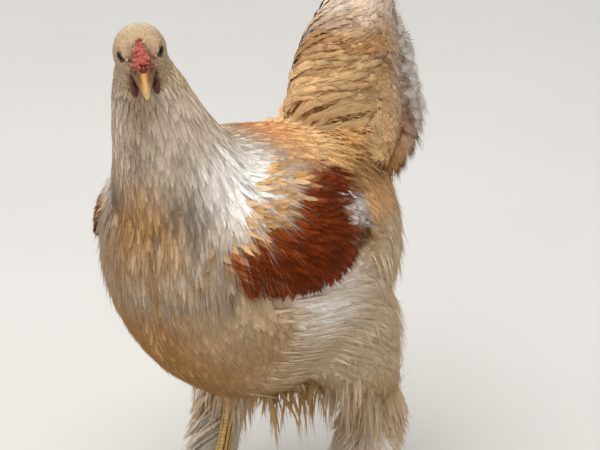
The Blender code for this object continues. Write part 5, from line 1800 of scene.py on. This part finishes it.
FACE_PATCHES = [
    ("grey_cream", (0.0, 0.034, 0.0), (0.040, 0.020, 0.040), 0.9),
    ("throat", (0.022, 0.006, -0.006), (0.008, 0.016, 0.014), 0.4),
    ("cheek", (0.018, -0.002, -0.016), (0.014, 0.024, 0.018), 1.0),
    ("cheek", (0.024, 0.012, 0.002), (0.010, 0.018, 0.016), 0.8),
    ("brow", (0.012, -0.012, 0.014), (0.008, 0.012, 0.006), 0.8),
    ("pink", (0.0085, -0.020, 0.006), (0.0065, 0.011, 0.011), 0.75),
    ("red", (0.0, -0.024, 0.010), (0.0075, 0.015, 0.012), 0.9),
    # Dark skin at the corner of the mouth, with painted shade under the bill's corner.
    ("umber", (0.0105, -0.020, -0.006), (0.0045, 0.008, 0.006), 0.8),
    ("dark_red", (0.0095, -0.023, -0.014), (0.0045, 0.009, 0.010), 0.95),
]


def face_colour(points):
    """Colours of the head, painted in its own frame."""
    return painted(moved(points, TO_HEAD), "crown", FACE_PATCHES)


FACE_SKIN = skin_finish("bare_face_skin", 0.55, 0.0011)


def eye_reach(local, side):
    """How far places lie from the eye, in shares of the slanted bare patch around it."""
    centre, _, turn = eye_place(side)
    seen = moved(local, (Matrix.Translation(centre) @ turn).inverted())
    return np.sqrt((seen[:, 0] / 0.0076) ** 2 + (seen[:, 1] / 0.0048) ** 2) + 9 * (seen[:, 2] < 0)


def head_skin():
    forms = head_forms(-0.0016) + [eyelids(side) for side in SIDES.values()]
    skin = one_surface("skin_head", forms, HEAD_CUBE, 2, FACE_SKIN)
    for side in SIDES.values():
        cut(skin, ball("cutter", eye_place(side)[0], (EYE_RADIUS + 0.0002,) * 3))
    places = points_of(skin)
    local = moved(places, TO_HEAD)
    colours = face_colour(places)
    # Round each eye the skin is painted near black: the dark bare skin there, and painted shade under the
    # heavy brow.
    rim = np.zeros(len(local))
    for side in SIDES.values():
        rim = np.maximum(rim, soft_step(-eye_reach(local, side), -1.5, -0.9))
    set_colour(skin, mixed(colours, np.array(linear("1E110C")), rim * 0.95))
    return skin


face = head_skin()


def make_head_guide():
    forms = [*head_forms(0.0003), ring_mesh("form", neck_rings(0.002))]
    guide = one_surface("guide", forms, cube=0.0012, smoothing=5)
    tree = tree_of(guide)
    bpy.data.objects.remove(guide, do_unlink=True)
    return tree


HEAD_GUIDE = make_head_guide()
finish_piece(face, "cream_feather", "head")

# %% Feathers of the face and the crown
# Behind the bill, and how much more they gain up to the nape.
FACE_LENGTH, FACE_LENGTH_GAIN = 0.0042, 0.0075
FACE_HALF_WIDTH, FACE_WIDTH_GAIN = 0.0009, 0.0010
RUFF_LENGTH, RUFF_LENGTH_GAIN = 0.013, 0.014
RUFF_HALF_WIDTH = 0.0018


def downwards(strength):
    """A pull for lay that turns feathers down by the same amount at every place."""
    return lambda at: np.array((0, 0, -strength))


def face_feathers():
    """Short feathers that start behind the bill and grow longer over the crown and the cheeks."""
    draw = np.random.default_rng(81)
    grid = head_rings(-0.0008)
    places, homes = roots_on(grid, pitch=0.0019, spacing=0.0019, draw=draw)
    roots, along = on_grid(grid, places)
    local = moved(roots, TO_HEAD)
    off_bill = (np.abs(local[:, 0]) > 0.0042) | (local[:, 1] > -0.0090) | (local[:, 2] < 0)
    clear = (local[:, 1] > -0.0235) & off_bill
    for side in SIDES.values():
        clear &= eye_reach(local, side) > 1.15
    comb_bed = (np.abs(local[:, 0]) < 0.0066) & (local[:, 1] < -0.008) & (local[:, 2] > 0.004)
    keep = clear & ~comb_bed
    roots, along, homes, local = roots[keep], along[keep], homes[keep], local[keep]
    # The brows stand over the skull, so they need roots of their own.
    for side in SIDES.values():
        turn, high = np.meshgrid(np.arange(0, 2 * np.pi, 0.34), np.arange(0.1, 1.5, 0.22))
        round_it = np.stack([np.cos(turn) * np.cos(high), np.sin(turn) * np.cos(high), np.sin(high)], -1)
        round_it = round_it.reshape(-1, 3)
        brow = round_it * (0.0050, 0.0122, 0.0034) + (side * 0.0125, -0.0085, 0.0125)
        brow = brow[(eye_reach(brow, side) > 1.15) & (brow[:, 1] > -0.0205)]
        local = np.concatenate([local, brow])
        roots = np.concatenate([roots, moved(brow, HEAD_FRAME)])
        back_way = moved(np.array([[0, 0, 0], [0, 1.0, 0.15]]), HEAD_FRAME)
        along = np.concatenate([along, np.repeat(unit(back_way[:1] - back_way[1:]), len(brow), 0)])
        brow_homes = np.stack([0.5 + side * 0.1 + 0 * brow[:, 0], 0.5 + 8 * brow[:, 1]], -1)
        homes = np.concatenate([homes, brow_homes])
    back = soft_step(local[:, 1], -0.024, 0.016)
    headings = unit(-along + draw.normal(0, 0.10, roots.shape))
    lengths = (FACE_LENGTH + FACE_LENGTH_GAIN * back) * draw.uniform(0.85, 1.2, len(roots))
    lift = (0.0006 + 0.0010 * back) * draw.uniform(0.6, 1.4, len(roots))
    pull = downwards(0.10)
    lines, ups = lay(HEAD_GUIDE, roots, headings, lengths, 3, depth=0.0010, lift=lift, pull=pull)
    widths = (FACE_HALF_WIDTH + FACE_WIDTH_GAIN * back) * draw.uniform(0.8, 1.2, len(roots))
    shapes = shape_set(4, draw, outline=LANCE[:1] + LANCE[2:5], barbs=6, fray=0.8, first=0.30)
    coat = add_mixed(Coat(), shapes, lines, ups, widths, face_colour(lines[:, 2]), homes, draw,
                     shade=silky)
    finish_piece(coat.build("coat_head", SOFT_FEATHER), "cream_feather")


def ruff():
    """Longer feathers from the cheeks, the throat and the nape, which bridge the head and the hackle."""
    draw = np.random.default_rng(83)
    forms = [*head_forms(0.0003), ring_mesh("form", neck_rings(0.0016))]
    guide = one_surface("guide", forms, cube=0.0025, smoothing=22)
    tree = tree_of(guide)
    bpy.data.objects.remove(guide, do_unlink=True)
    grid = head_rings(-0.0008)
    places, homes = roots_on(grid, pitch=0.0026, spacing=0.0024, draw=draw)
    roots, along = on_grid(grid, places)
    local = moved(roots, TO_HEAD)
    low = (local[:, 2] < 0.35 * (local[:, 1] - 0.012)) & (local[:, 1] > -0.013)
    keep = (low | (local[:, 1] > 0.016)) & (eye_reach(local, 1) > 1.8) & (eye_reach(local, -1) > 1.8)
    roots, along, homes, local = roots[keep], along[keep], homes[keep], local[keep]
    headings = unit(-along * 0.5 + np.array((0, 0, -1.0)) + draw.normal(0, 0.10, roots.shape))
    lengths = RUFF_LENGTH + RUFF_LENGTH_GAIN * soft_step(local[:, 1], -0.012, 0.010)
    lengths = lengths * draw.uniform(0.45, 1.35, len(roots))
    lift = 0.0005 * draw.uniform(0.2, 1.6, len(roots))
    pull = downwards(0.35)
    lines, ups = lay(tree, roots, headings, lengths, 5, depth=0.0010, lift=lift, pull=pull)
    widths = RUFF_HALF_WIDTH * draw.uniform(0.8, 1.2, len(roots))
    shapes = shape_set(4, draw, outline=LANCE, barbs=9, fray=0.9, first=0.25)
    blend = soft_step(lengths, 0.008, 0.020)
    colours = mixed(face_colour(lines[:, 1]), hackle_colour(lines[:, 4], np.ones(len(roots)), draw), blend)
    coat = add_mixed(Coat(), shapes, lines, ups, widths, colours, homes, draw, shade=silky)
    finish_piece(coat.build("coat_ruff", HACKLE_FEATHER), "cream_feather")


face_feathers()
ruff()

# %% [markdown]
# ## Eyes
#
# The eyeball is a glossy ball: a clear cornea over a brown-orange iris and a round black pupil. Each point
# of the ball stores how far it lies from the line of sight, and the finish turns that distance into
# pupil, iris and dark rim, so that the pattern stays on the eye from every side.

# %% Eyes
def eye_finish():
    made, tree, shader = new_material("wet_eyeball", 0.28, Specular_IOR_Level=0.10)
    off = add_node(tree, "ShaderNodeAttribute", attribute_name="off_axis")
    ramp = add_node(tree, "ShaderNodeValToRGB", links={0: off.outputs["Fac"]})
    stops = [(0.0, "040303"), (0.42, "060403"), (0.47, "34170A"), (0.64, "4E250E"), (0.74, "180B05"),
             (0.9, "0E0704")]
    while len(ramp.color_ramp.elements) < len(stops):
        ramp.color_ramp.elements.new(0.5)
    for element, (place, code) in zip(ramp.color_ramp.elements, stops):
        element.position = place
        element.color = (*linear(code), 1)
    tree.links.new(ramp.outputs["Color"], shader.inputs["Base Color"])
    return made


EYEBALL = eye_finish()


def eyeball(word):
    side = SIDES[word]
    centre, out, _ = eye_place(side)
    obj = ball(f"eye_ball_{word}", centre, (EYE_RADIUS,) * 3, 0, 48, 32, EYEBALL)
    local = moved(points_of(obj), TO_HEAD) - np.array(centre)
    angle = np.arccos(np.clip(unit(local) @ np.array(out), -1, 1))
    layer = obj.data.attributes.new("off_axis", "FLOAT", "POINT")
    layer.data.foreach_set("value", (angle / 1.1).astype(np.float32))
    return finish_piece(obj, "eye", f"eye_{word}")


for word in SIDES:
    eyeball(word)

# %% [markdown]
# ## Bill, comb and wattles
#
# The bill is horn over bone, yellow with a browner root, a pale tip and a little gloss. Its upper half
# hooks over the lower. The comb and the wattles are bare skin full of blood, matt and finely pebbled.

# %% Bill
BILL_UPPER = [
    (-0.0170, 0.0010, 0.0105, 0.0075),
    (-0.0250, 0.0015, 0.0096, 0.0070),
    (-0.0340, 0.0000, 0.0074, 0.0058),
    (-0.0430, -0.0045, 0.0044, 0.0042),
    (-0.0490, -0.0105, 0.0018, 0.0022),
]
BILL_LOWER = [
    (-0.0170, -0.0095, 0.0098, 0.0044),
    (-0.0250, -0.0098, 0.0086, 0.0038),
    (-0.0340, -0.0108, 0.0060, 0.0030),
    (-0.0415, -0.0130, 0.0030, 0.0020),
]


def horn_finish(name):
    """Horn: the painted colour under fine growth lines and a little gloss."""
    made, tree, shader = new_material(name, 0.38, Subsurface_Weight=0.05, Coat_Weight=0.15,
                                      Coat_Roughness=0.3)
    shader.inputs["Subsurface Radius"].default_value = (0.003, 0.0015, 0.0006)
    _, lines = mottled(tree, shader, scale=420.0, detail=3.0, dark=0.84, light=1.08)
    bumped(tree, shader, lines.outputs["Fac"], strength=0.2, distance=0.0003)
    return made


BILL_HORN = horn_finish("bill_horn")


def horn_tones(amount, codes):
    """Colours of a piece of horn from its root, where amount is 0, to its tip, where it is 1."""
    root, body, tip = (np.array(linear(code)) for code in codes)
    tone = mixed(np.repeat(root[None], len(amount), 0), body, soft_step(amount, 0.10, 0.45))
    return mixed(tone, tip, soft_step(amount, 0.55, 1.0))


def bill_half(name, rows, grow, keel, tip_reach=0.0016):
    """Half of the bill: sections along a curve, with a ridge along the top."""
    t = np.linspace(0, 1, 32)
    y, z, wide, deep = along_rows(rows, t).T
    path = np.stack([0 * y, y, z], -1)
    ahead = unit(path[-1] - path[-2])
    ends = (path[0] - ahead * 0.001, path[-1] + ahead * (tip_reach + grow))
    grid = limb_rings(path, np.stack([wide, deep], -1), (1, 0, 0), 40, grow, *ends)
    middle = grid.mean(1, keepdims=True)
    up = np.clip(grid[..., 2] - middle[..., 2], 0, None)
    near_ridge = np.exp(-((grid[..., 0] / 0.0016) ** 2))
    grid[..., 2] += keel * near_ridge * (up > 0) * np.minimum(up / 0.002, 1)
    return ring_mesh(name, moved(grid, HEAD_FRAME), BILL_HORN)


def bill():
    upper = bill_half("bill_upper", BILL_UPPER, 0.0, 0.0006)
    for side in SIDES.values():
        cut(upper, ball("cutter", Vector((side * 0.0068, -0.0300, 0.0036)), (0.0024, 0.0030, 0.0013), 20))
    lower = bill_half("bill_lower", BILL_LOWER, -0.0001, 0.0)
    cut(lower, bill_half("cutter", BILL_UPPER, 0.00025, 0.0))
    for piece, node in ((upper, "beak_upper"), (lower, "beak_lower")):
        local = moved(points_of(piece), TO_HEAD)
        tone = horn_tones((-0.019 - local[:, 1]) / 0.032, ("6A4020", "D09545", "DDB878"))
        # The sides towards the mouth are painted brown, which leaves the ridge bright as a painted
        # highlight.
        aside = np.abs(local[:, 0]) / np.maximum(0.0115 - 0.30 * (-0.017 - local[:, 1]), 0.002)
        side_share = soft_step(aside, 0.18, 0.75) * soft_step(local[:, 1], -0.050, -0.038)
        set_colour(piece, mixed(tone, np.array(linear("6A401C")), 0.9 * side_share))
        finish_piece(piece, "yellow_horn", node)


bill()

# %% Comb and wattles
COMB_ROWS = [(-0.0050, 0.75), (-0.0025, 1.0), (0.0, 1.25), (0.0025, 1.0), (0.0050, 0.75)]
COMB_PEAS = 8
FLESH = skin_finish("bare_comb_skin", 0.6, 0.0009)


def comb():
    """Low rows of peas that run up from the bill and close to a point, the middle one highest."""
    draw = np.random.default_rng(91)
    forms = [ball("form", Vector((0, -0.0215, 0.0122)), (0.0058, 0.0148, 0.0044), 26)]
    for x, high in COMB_ROWS:
        for k in range(COMB_PEAS):
            t = k / (COMB_PEAS - 1)
            swell = math.sin(math.pi * (0.12 + 0.80 * t))
            rise = 0.0100 + 0.0122 * t + 0.0030 * swell * high
            at = Vector((x * (1.38 - 1.06 * t), -0.0335 + 0.0240 * t, rise))
            at = at + Vector(draw.normal(0, 0.0005, 3))
            size = (0.0012 + 0.0008 * swell) * draw.uniform(0.7, 1.3)
            forms.append(ball("form", at, (size, size * 1.15, size * high * 1.15), 0, 16, 10))
    obj = one_surface("comb_flesh", forms, cube=0.00045, smoothing=2, material=FLESH)
    local = moved(points_of(obj), TO_HEAD)
    # Low on the comb, between and under the peas, the red is darker: painted shade in its hollows.
    high = soft_step(local[:, 2] - 0.010 - 0.52 * (local[:, 1] + 0.0335), 0.0005, 0.0045)
    dark = np.repeat(np.array(linear("7A2A24"))[None], len(local), 0)
    set_colour(obj, mixed(dark, np.array(linear("B05244")), high))
    finish_piece(obj, "red_skin", "comb")


def wattle(word):
    """A short wattle: a thin drop of skin with shallow folds."""
    side = SIDES[word]
    at = Vector((side * 0.0098, -0.0235, -0.0225))
    obj = ball(f"wattle_drop_{word}", at, (0.0030, 0.0052, 0.0085), 18, 48, 36, FLESH)
    local = moved(points_of(obj), TO_HEAD)
    fold = 0.0003 * np.sin(local[:, 1] * 2600) + 0.0003 * np.sin(local[:, 2] * 1700 + local[:, 1] * 900)
    local[:, 0] += side * fold
    flat = moved(local, HEAD_FRAME).astype(np.float32)
    obj.data.vertices.foreach_set("co", flat.ravel())
    obj.data.update()
    low = soft_step(-local[:, 2], 0.016, 0.030)
    set_colour(obj, mixed(plain("dark_red", len(local)), np.array(linear("5C2A1C")), low))
    finish_piece(obj, "dark_red_skin", f"wattle_{word}")


comb()
for word in SIDES:
    wattle(word)

# %% [markdown]
# ## Shanks, feet and claws
#
# The shanks are yellow and scaled: broad scutes overlap down the front and over the toes like roof tiles,
# and small ones cover the sides. Scutes follow a path in rows, so a Geometry Nodes tree sets one small
# plate on each point of a cloud, turned and sized by the point's own values, and makes the copies real.

# %% The tree that sets plates on points
def plate_tree(plate, material):
    """Copies of a plate on points that store their turn and size. Size and Seed are the tree's inputs."""
    tree = bpy.data.node_groups.new("set_plates", "GeometryNodeTree")
    face_in = tree.interface
    face_in.new_socket("Geometry", in_out="INPUT", socket_type="NodeSocketGeometry")
    size = face_in.new_socket("Size", in_out="INPUT", socket_type="NodeSocketFloat")
    seed = face_in.new_socket("Seed", in_out="INPUT", socket_type="NodeSocketInt")
    face_in.new_socket("Geometry", in_out="OUTPUT", socket_type="NodeSocketGeometry")
    entry = add_node(tree, "NodeGroupInput")
    cloud = add_node(tree, "GeometryNodeMeshToPoints", links={0: entry.outputs[0]})
    source = add_node(tree, "GeometryNodeObjectInfo", {0: plate})
    turn = add_node(tree, "GeometryNodeInputNamedAttribute", {0: "turn"}, data_type="QUATERNION")
    own = add_node(tree, "GeometryNodeInputNamedAttribute", {0: "plate_size"}, data_type="FLOAT_VECTOR")
    chance = add_node(tree, "FunctionNodeRandomValue", {2: 0.88, 3: 1.12}, {8: entry.outputs[2]},
                      data_type="FLOAT")
    scale = add_node(tree, "ShaderNodeVectorMath", links={0: own.outputs[0], 1: chance.outputs[1]},
                     operation="MULTIPLY")
    whole = add_node(tree, "ShaderNodeVectorMath", links={0: scale.outputs[0], 1: entry.outputs[1]},
                     operation="MULTIPLY")
    copies = add_node(tree, "GeometryNodeInstanceOnPoints",
                      links={0: cloud.outputs[0], 2: source.outputs["Geometry"],
                              5: turn.outputs[0], 6: whole.outputs[0]})
    real = add_node(tree, "GeometryNodeRealizeInstances", links={0: copies.outputs[0]})
    finish = add_node(tree, "GeometryNodeSetMaterial", {2: material}, {0: real.outputs[0]})
    add_node(tree, "NodeGroupOutput", links={0: finish.outputs[0]})
    return tree, size.identifier, seed.identifier


def scute_plate():
    """One scute, a unit wide and long: a rounded shield that is thickest at its lower edge."""
    outline = [(-0.50, -0.30), (-0.34, -0.50), (0.34, -0.50), (0.50, -0.30), (0.44, 0.36), (0.0, 0.50),
               (-0.44, 0.36)]
    mesh = bpy.data.meshes.new("scute_plate")
    bm = bmesh.new()
    rim = [bm.verts.new((x, y, -0.10)) for x, y in outline]
    top = [bm.verts.new((x * 0.78, y * 0.78, 0.16 - 0.10 * y)) for x, y in outline]
    for k in range(len(rim)):
        n = (k + 1) % len(rim)
        bm.faces.new((rim[k], rim[n], top[n], top[k]))
    bm.faces.new(rim[::-1])
    peak = bm.verts.new((0, 0.05, 0.24))
    for k in range(len(top)):
        bm.faces.new((top[k], top[(k + 1) % len(top)], peak))
    bmesh.ops.recalc_face_normals(bm, faces=bm.faces)
    bm.to_mesh(mesh)
    bm.free()
    mesh.shade_smooth()
    obj = add_object("scute_plate", mesh)
    # The rim is painted dark as shade in the seams, and the top and the peak pale as a painted highlight.
    tones = ["6F5028"] * len(outline) + ["C9A254"] * len(outline) + ["E2C27C"]
    return set_colour(obj, np.array([linear(code) for code in tones]))


def scale_finish():
    """Yellow leg skin and scutes in their painted colours, darker at the seams between them."""
    made, tree, shader = new_material("yellow_leg_scales", 0.5, Subsurface_Weight=0.05)
    shader.inputs["Subsurface Radius"].default_value = (0.003, 0.0015, 0.0006)
    place, _ = mottled(tree, shader, scale=160.0, detail=4.0, dark=0.78, light=1.12)
    pebbles = add_node(tree, "ShaderNodeTexVoronoi", {"Scale": 700.0}, {"Vector": place.outputs["Object"]})
    bumped(tree, shader, pebbles.outputs["Distance"], strength=0.4, distance=0.0004)
    return made


LEG_SCALES = scale_finish()
PLATE = scute_plate()
PLATE_TREE, PLATE_SIZE, PLATE_SEED = plate_tree(PLATE, LEG_SCALES)


def set_plates(name, points, outs, downs, sizes, seed):
    """A mesh of plates at points that face outs and overlap towards downs."""
    mesh = bpy.data.meshes.new(name)
    mesh.from_pydata([tuple(p) for p in points], [], [])
    cloud = add_object(name, mesh)
    turns = np.empty((len(points), 4), np.float32)
    for k, (out, down) in enumerate(zip(outs, downs)):
        z = Vector(out).normalized()
        y = (-Vector(down) + z * Vector(down).dot(z)).normalized()
        turns[k] = Matrix((y.cross(z), y, z)).transposed().to_quaternion()
    turn = mesh.attributes.new("turn", "QUATERNION", "POINT")
    turn.data.foreach_set("value", turns.ravel())
    size = mesh.attributes.new("plate_size", "FLOAT_VECTOR", "POINT")
    size.data.foreach_set("vector", np.asarray(sizes, np.float32).ravel())
    modifier = cloud.modifiers.new("plates", "NODES")
    modifier.node_group = PLATE_TREE
    modifier[PLATE_SIZE] = 1.0
    modifier[PLATE_SEED] = seed
    return apply_modifiers(cloud)


# %% Shanks
def leg_tone(skin):
    """The darker skin between the scutes."""
    return set_colour(skin, np.repeat(np.array(linear("7E602F"))[None], len(skin.data.vertices), 0))


def shank_path(leg, rings=30):
    t = np.linspace(0, 1, rings)[:, None]
    hock, foot_end = np.array(leg["hock"]), np.array(leg["foot"])
    return hock + (foot_end - hock) * t, curve(SHANK, t[:, 0])


# Around the shank: the angle of each row of scutes from its front, and a scute's length and width.
SCUTE_ROWS = [
    (-22, 0.0052, 0.0060), (22, 0.0052, 0.0060), (-66, 0.0038, 0.0040), (66, 0.0038, 0.0040),
    (-100, 0.0032, 0.0034), (100, 0.0032, 0.0034), (-135, 0.0034, 0.0036), (135, 0.0034, 0.0036),
    (180, 0.0040, 0.0044),
]


def shank(word):
    """The shank's skin with scutes: two rows down the front, smaller ones round the sides."""
    leg = LEGS[word]
    path, radii = shank_path(leg)
    ahead = unit(path[-1] - path[0])
    ends = (path[0] - ahead * 0.006, path[-1] + ahead * 0.004)
    skin = leg_tone(ring_mesh("form", limb_rings(path, radii, (1, 0, 0), 28, -0.0006, *ends)))
    skin.data.materials.append(LEG_SCALES)
    across = unit(np.array((1.0, 0, 0)) - ahead * ahead[0])
    front = np.cross(across, ahead)
    front = front * math.copysign(1, -front[1])
    points, outs, sizes = [], [], []
    for turn, long, wide in SCUTE_ROWS:
        count = int(0.117 / (long * 0.78))
        for k in range(count):
            t = 0.03 + 0.95 * (k + 0.5 * (turn > 0)) / count
            angle = math.radians(turn)
            centre = path[0] + (path[-1] - path[0]) * t
            wide_here, deep_here = curve(SHANK, np.array([t]))[0] - 0.0005
            beside = centre + across * math.sin(angle) * wide_here
            points.append(beside + front * math.cos(angle) * deep_here)
            outs.append(across * math.sin(angle) + front * math.cos(angle))
            sizes.append((wide, long, 0.0050))
    plates = set_plates("plates", points, outs, [ahead] * len(points), sizes, 3)
    made = join(f"shank_skin_{word}", [skin, plates])
    made.data.materials.append(LEG_SCALES)
    made.data.shade_smooth()
    finish_piece(made, "yellow_scale", f"shank_{word}")


for word in LEGS:
    shank(word)

# %% Toes
TOES = [("inner", 28, 0.056), ("middle", 0, 0.072), ("outer", -32, 0.058), ("hind", 172, 0.028)]
TOE_RADIUS = 0.0068


def toe_line(leg, side, heading, length, count=24):
    """A toe's middle line along the floor, its radii with swollen joints, and its heading."""
    turn = Matrix.Rotation(math.radians(leg["turn"] - heading * side), 4, "Z")
    ahead = np.array(turn @ Vector((0, -1, 0)))
    t = np.linspace(0, 1, count)
    thick = TOE_RADIUS * (1.05 - 0.32 * t)
    height = 0.75 * thick + 0.0045 * (1 - t) ** 2 + 0.0008 * np.sin(t * np.pi * 3) ** 2
    at = np.array(leg["foot"])
    path = np.stack([at[0] + 0 * t, at[1] + 0 * t, height], -1) + ahead * (length * t)[:, None]
    joints = 0.0006 * np.cos(t * np.pi * 6) * (t > 0.1)
    return path, np.stack([thick + joints, thick * 0.92 + joints], -1), ahead


def foot(word):
    """Four toes and the ball of the foot as one skin, with scutes over each toe."""
    leg, side = LEGS[word], SIDES[word]
    at = leg["foot"]
    forms = [ball("form", Vector((at[0], at[1], 0.012)), (0.0125, 0.014, 0.0118), 0, 24, 16, None,
                  Matrix())]
    points, outs, downs, sizes = [], [], [], []
    for _, heading, length in TOES:
        path, radii, ahead = toe_line(leg, side, heading, length)
        across = np.cross(ahead, (0, 0, 1))
        grid = limb_rings(path, radii - 0.0004, across, 20, 0.0, None, path[-1] + ahead * 0.004)
        forms.append(ring_mesh("form", grid))
        count = int(length / 0.0042)
        for k in range(1, count):
            t = k / count
            spot = np.array([np.interp(t, np.linspace(0, 1, len(path)), path[:, j]) for j in range(3)])
            thick = TOE_RADIUS * (1.05 - 0.32 * t)
            for lean, wide in ((0, 0.0078), (48, 0.0042), (-48, 0.0042)):
                tilt = math.radians(lean)
                out = np.array((0, 0, 1)) * math.cos(tilt) + across * math.sin(tilt)
                points.append(spot + out * (thick * 0.86))
                outs.append(out)
                downs.append(ahead)
                sizes.append((wide, 0.0052, 0.0050))
    skin = leg_tone(one_surface("form", forms, cube=0.0012, smoothing=3))
    plates = set_plates("plates", points, outs, downs, sizes, 5)
    made = join(f"foot_skin_{word}", [skin, plates])
    places = points_of(made)
    places[:, 2] = np.maximum(places[:, 2], 0.0002)
    made.data.vertices.foreach_set("co", places.astype(np.float32).ravel())
    made.data.materials.append(LEG_SCALES)
    made.data.shade_smooth()
    finish_piece(made, "yellow_scale", f"foot_{word}")


for word in LEGS:
    foot(word)

# %% Claws
CLAW_HORN = horn_finish("claw_horn")
CLAW_LENGTH = 0.015


def claw(word, toe, heading, length):
    """A curved claw that tapers from the toe's end to the floor."""
    leg, side = LEGS[word], SIDES[word]
    path, _, ahead = toe_line(leg, side, heading, length)
    root = path[-1] - ahead * 0.003
    t = np.linspace(0, 1, 16)
    drop = 0.0022 * np.sin(t * 2.2) - 0.0026 * t * t
    line = root + ahead * (CLAW_LENGTH * t)[:, None] + np.stack([0 * t, 0 * t, drop], -1)
    thick = 0.0030 * (1 - t) ** 0.7 + 0.0003
    across = np.cross(ahead, (0, 0, 1))
    grid = limb_rings(line, np.stack([thick, thick * 1.05], -1), across, 16, 0.0, root,
                      line[-1] + ahead * 0.0006)
    obj = ring_mesh(f"horn_{toe}_{word}", grid, CLAW_HORN)
    amount = (points_of(obj) - root) @ ahead / CLAW_LENGTH
    set_colour(obj, horn_tones(amount, ("8A7048", "C9B083", "E6D8B8")))
    finish_piece(obj, "yellow_horn", f"claw_{toe}_{word}")


for word in LEGS:
    for toe, heading, length in TOES:
        claw(word, toe, heading, length)

# %% [markdown]
# ## Feathered legs
#
# The breed's shanks carry feathers down their outer side and over the outer toes. They are whitish and
# stand out a little, so the leg looks wide and fluffy from the front. On the left shank they cover the front
# as well and leave the inner rear side bare, and the right one is bare in front and on its inner side.

# %% Shank and toe feathers
LEG_STEPS = 5
SHANK_FEATHER_LENGTH = 0.044
SHANK_FEATHER_HALF_WIDTH = 0.0032
TOE_FEATHER_LENGTH = 0.030
TOE_FEATHER_HALF_WIDTH = 0.0030


def shank_feathers(word):
    leg, side = LEGS[word], SIDES[word]
    draw = np.random.default_rng(101)
    hock, low = np.array(leg["hock"]), np.array(leg["foot"])
    # Seen by the camera the left shank hides in its feathers, and the right one shows its front.
    left, right = (-150, 88, 0.4, 0.016, 20), (-40, 88, -0.35, 0.036, 15)
    first, most, peak, wide, columns = left if word == "left" else right
    row, column = np.meshgrid(np.linspace(-0.05, 0.88, 22), np.linspace(first, most, columns))
    t = np.clip(row.ravel() + draw.uniform(-0.03, 0.03, row.size), -0.05, 0.9)
    angle = np.radians(column.ravel() + draw.uniform(-8, 8, row.size))
    out = np.stack([side * np.cos(angle), np.sin(angle), 0 * angle], -1)
    root = hock + (low - hock) * t[:, None] + out * 0.004
    reach = SHANK_FEATHER_LENGTH * draw.uniform(0.7, 1.2, len(t)) * (1 - 0.15 * t)
    drop = np.minimum(reach, np.maximum(root[:, 2] - 0.015, 0.003))[:, None] * np.array((0, 0, -1.0))
    inner = 0.034 * np.exp(-(((angle + 2.2) / 0.8) ** 2)) * (word == "left")
    spread = out * (0.010 + wide * np.cos(np.clip(angle - peak, -1.57, 1.57)) ** 2 + inner)[:, None]
    handles = (root, root + out * 0.008 + drop * 0.1, root + spread * 0.8 + drop * 0.5,
               root + spread + drop)
    lines = bent(handles, LEG_STEPS)
    facing = unit(out * 0.8 + np.array((side * 0.1, -0.5, 0.3)))
    ups = np.repeat(facing[:, None], LEG_STEPS + 1, 1)
    colours = mixed(plain("white", len(t)), INK["cream"], draw.uniform(0.2, 1.0, len(t)))
    # The white is mixed a little with white greyed as painted shade.
    colours = mixed(colours, INK["white_in_shade"], 0.3)
    # Near the hock, and on the left shank's inner rear side, the feathers are painted towards flank buff, as
    # painted shade between the legs.
    warm = 0.7 * soft_step(-t, -0.40, -0.05) + 0.15 * (np.cos(angle) < 0.5) * (word == "left")
    colours = mixed(colours, INK["flank"], np.minimum(warm, 1.0))
    widths = SHANK_FEATHER_HALF_WIDTH * draw.uniform(0.8, 1.2, len(t))
    homes = np.stack([column.ravel() / 360 + 0.5, t], -1)
    shapes = shape_set(5, draw, outline=LANCE, barbs=14, fray=1.0, first=0.2, reach=0.4)
    coat = add_mixed(Coat(), shapes, lines, ups, widths, colours, homes, draw, shade=down_and_root_shade)
    toe_feathers(coat, shapes, leg, side, draw)
    finish_piece(coat.build(f"shank_feathers_{word}", DOWN), "cream_feather")


def toe_feathers(coat, shapes, leg, side, draw):
    """Feathers from the outer sides of the middle and outer toes, flat over the floor."""
    for toe, heading, length in TOES[1:3]:
        path, _, ahead = toe_line(leg, side, heading, length)
        across = np.cross(ahead, (0, 0, 1))
        out = across * math.copysign(1, across[0] * side)
        count = 26 if toe == "middle" else 52
        t = np.linspace(0.02, 0.86, count) if toe == "outer" else np.linspace(0.05, 0.7, count)
        root = path[0] + (path[-1] - path[0]) * t[:, None]
        root[:, 2] = 0.007 + 0.004 * draw.uniform(0, 1, count)
        root += out * 0.003
        away = unit(out + ahead * draw.uniform(-0.3, 1.1, (count, 1)))
        reach = TOE_FEATHER_LENGTH * draw.uniform(0.5, 1.15, count)
        reach = (reach * (1.1 - 0.35 * t))[:, None]
        rise = np.array((0, 0, 1.0)) * draw.uniform(0.003, 0.009, (count, 1))
        tip = root + away * reach
        tip[:, 2] = 0.0060
        low_tip = tip - away * reach * 0.35
        handles = (root, root + away * reach * 0.3 + rise, low_tip + rise * 0.3, tip)
        lines = bent(handles, LEG_STEPS)
        ups = np.repeat(np.array((0, 0, 1.0))[None, None], count, 0).repeat(LEG_STEPS + 1, 1)
        colours = mixed(plain("white", count), INK["cream"], draw.uniform(0, 0.8, count))
        homes = np.stack([np.full(count, 0.2), t], -1)
        widths = TOE_FEATHER_HALF_WIDTH * draw.uniform(0.8, 1.2, count)
        add_mixed(coat, shapes, lines, ups, widths, colours, homes, draw, shade=down_and_root_shade)


for word in LEGS:
    shank_feathers(word)

bpy.data.objects.remove(PLATE, do_unlink=True)
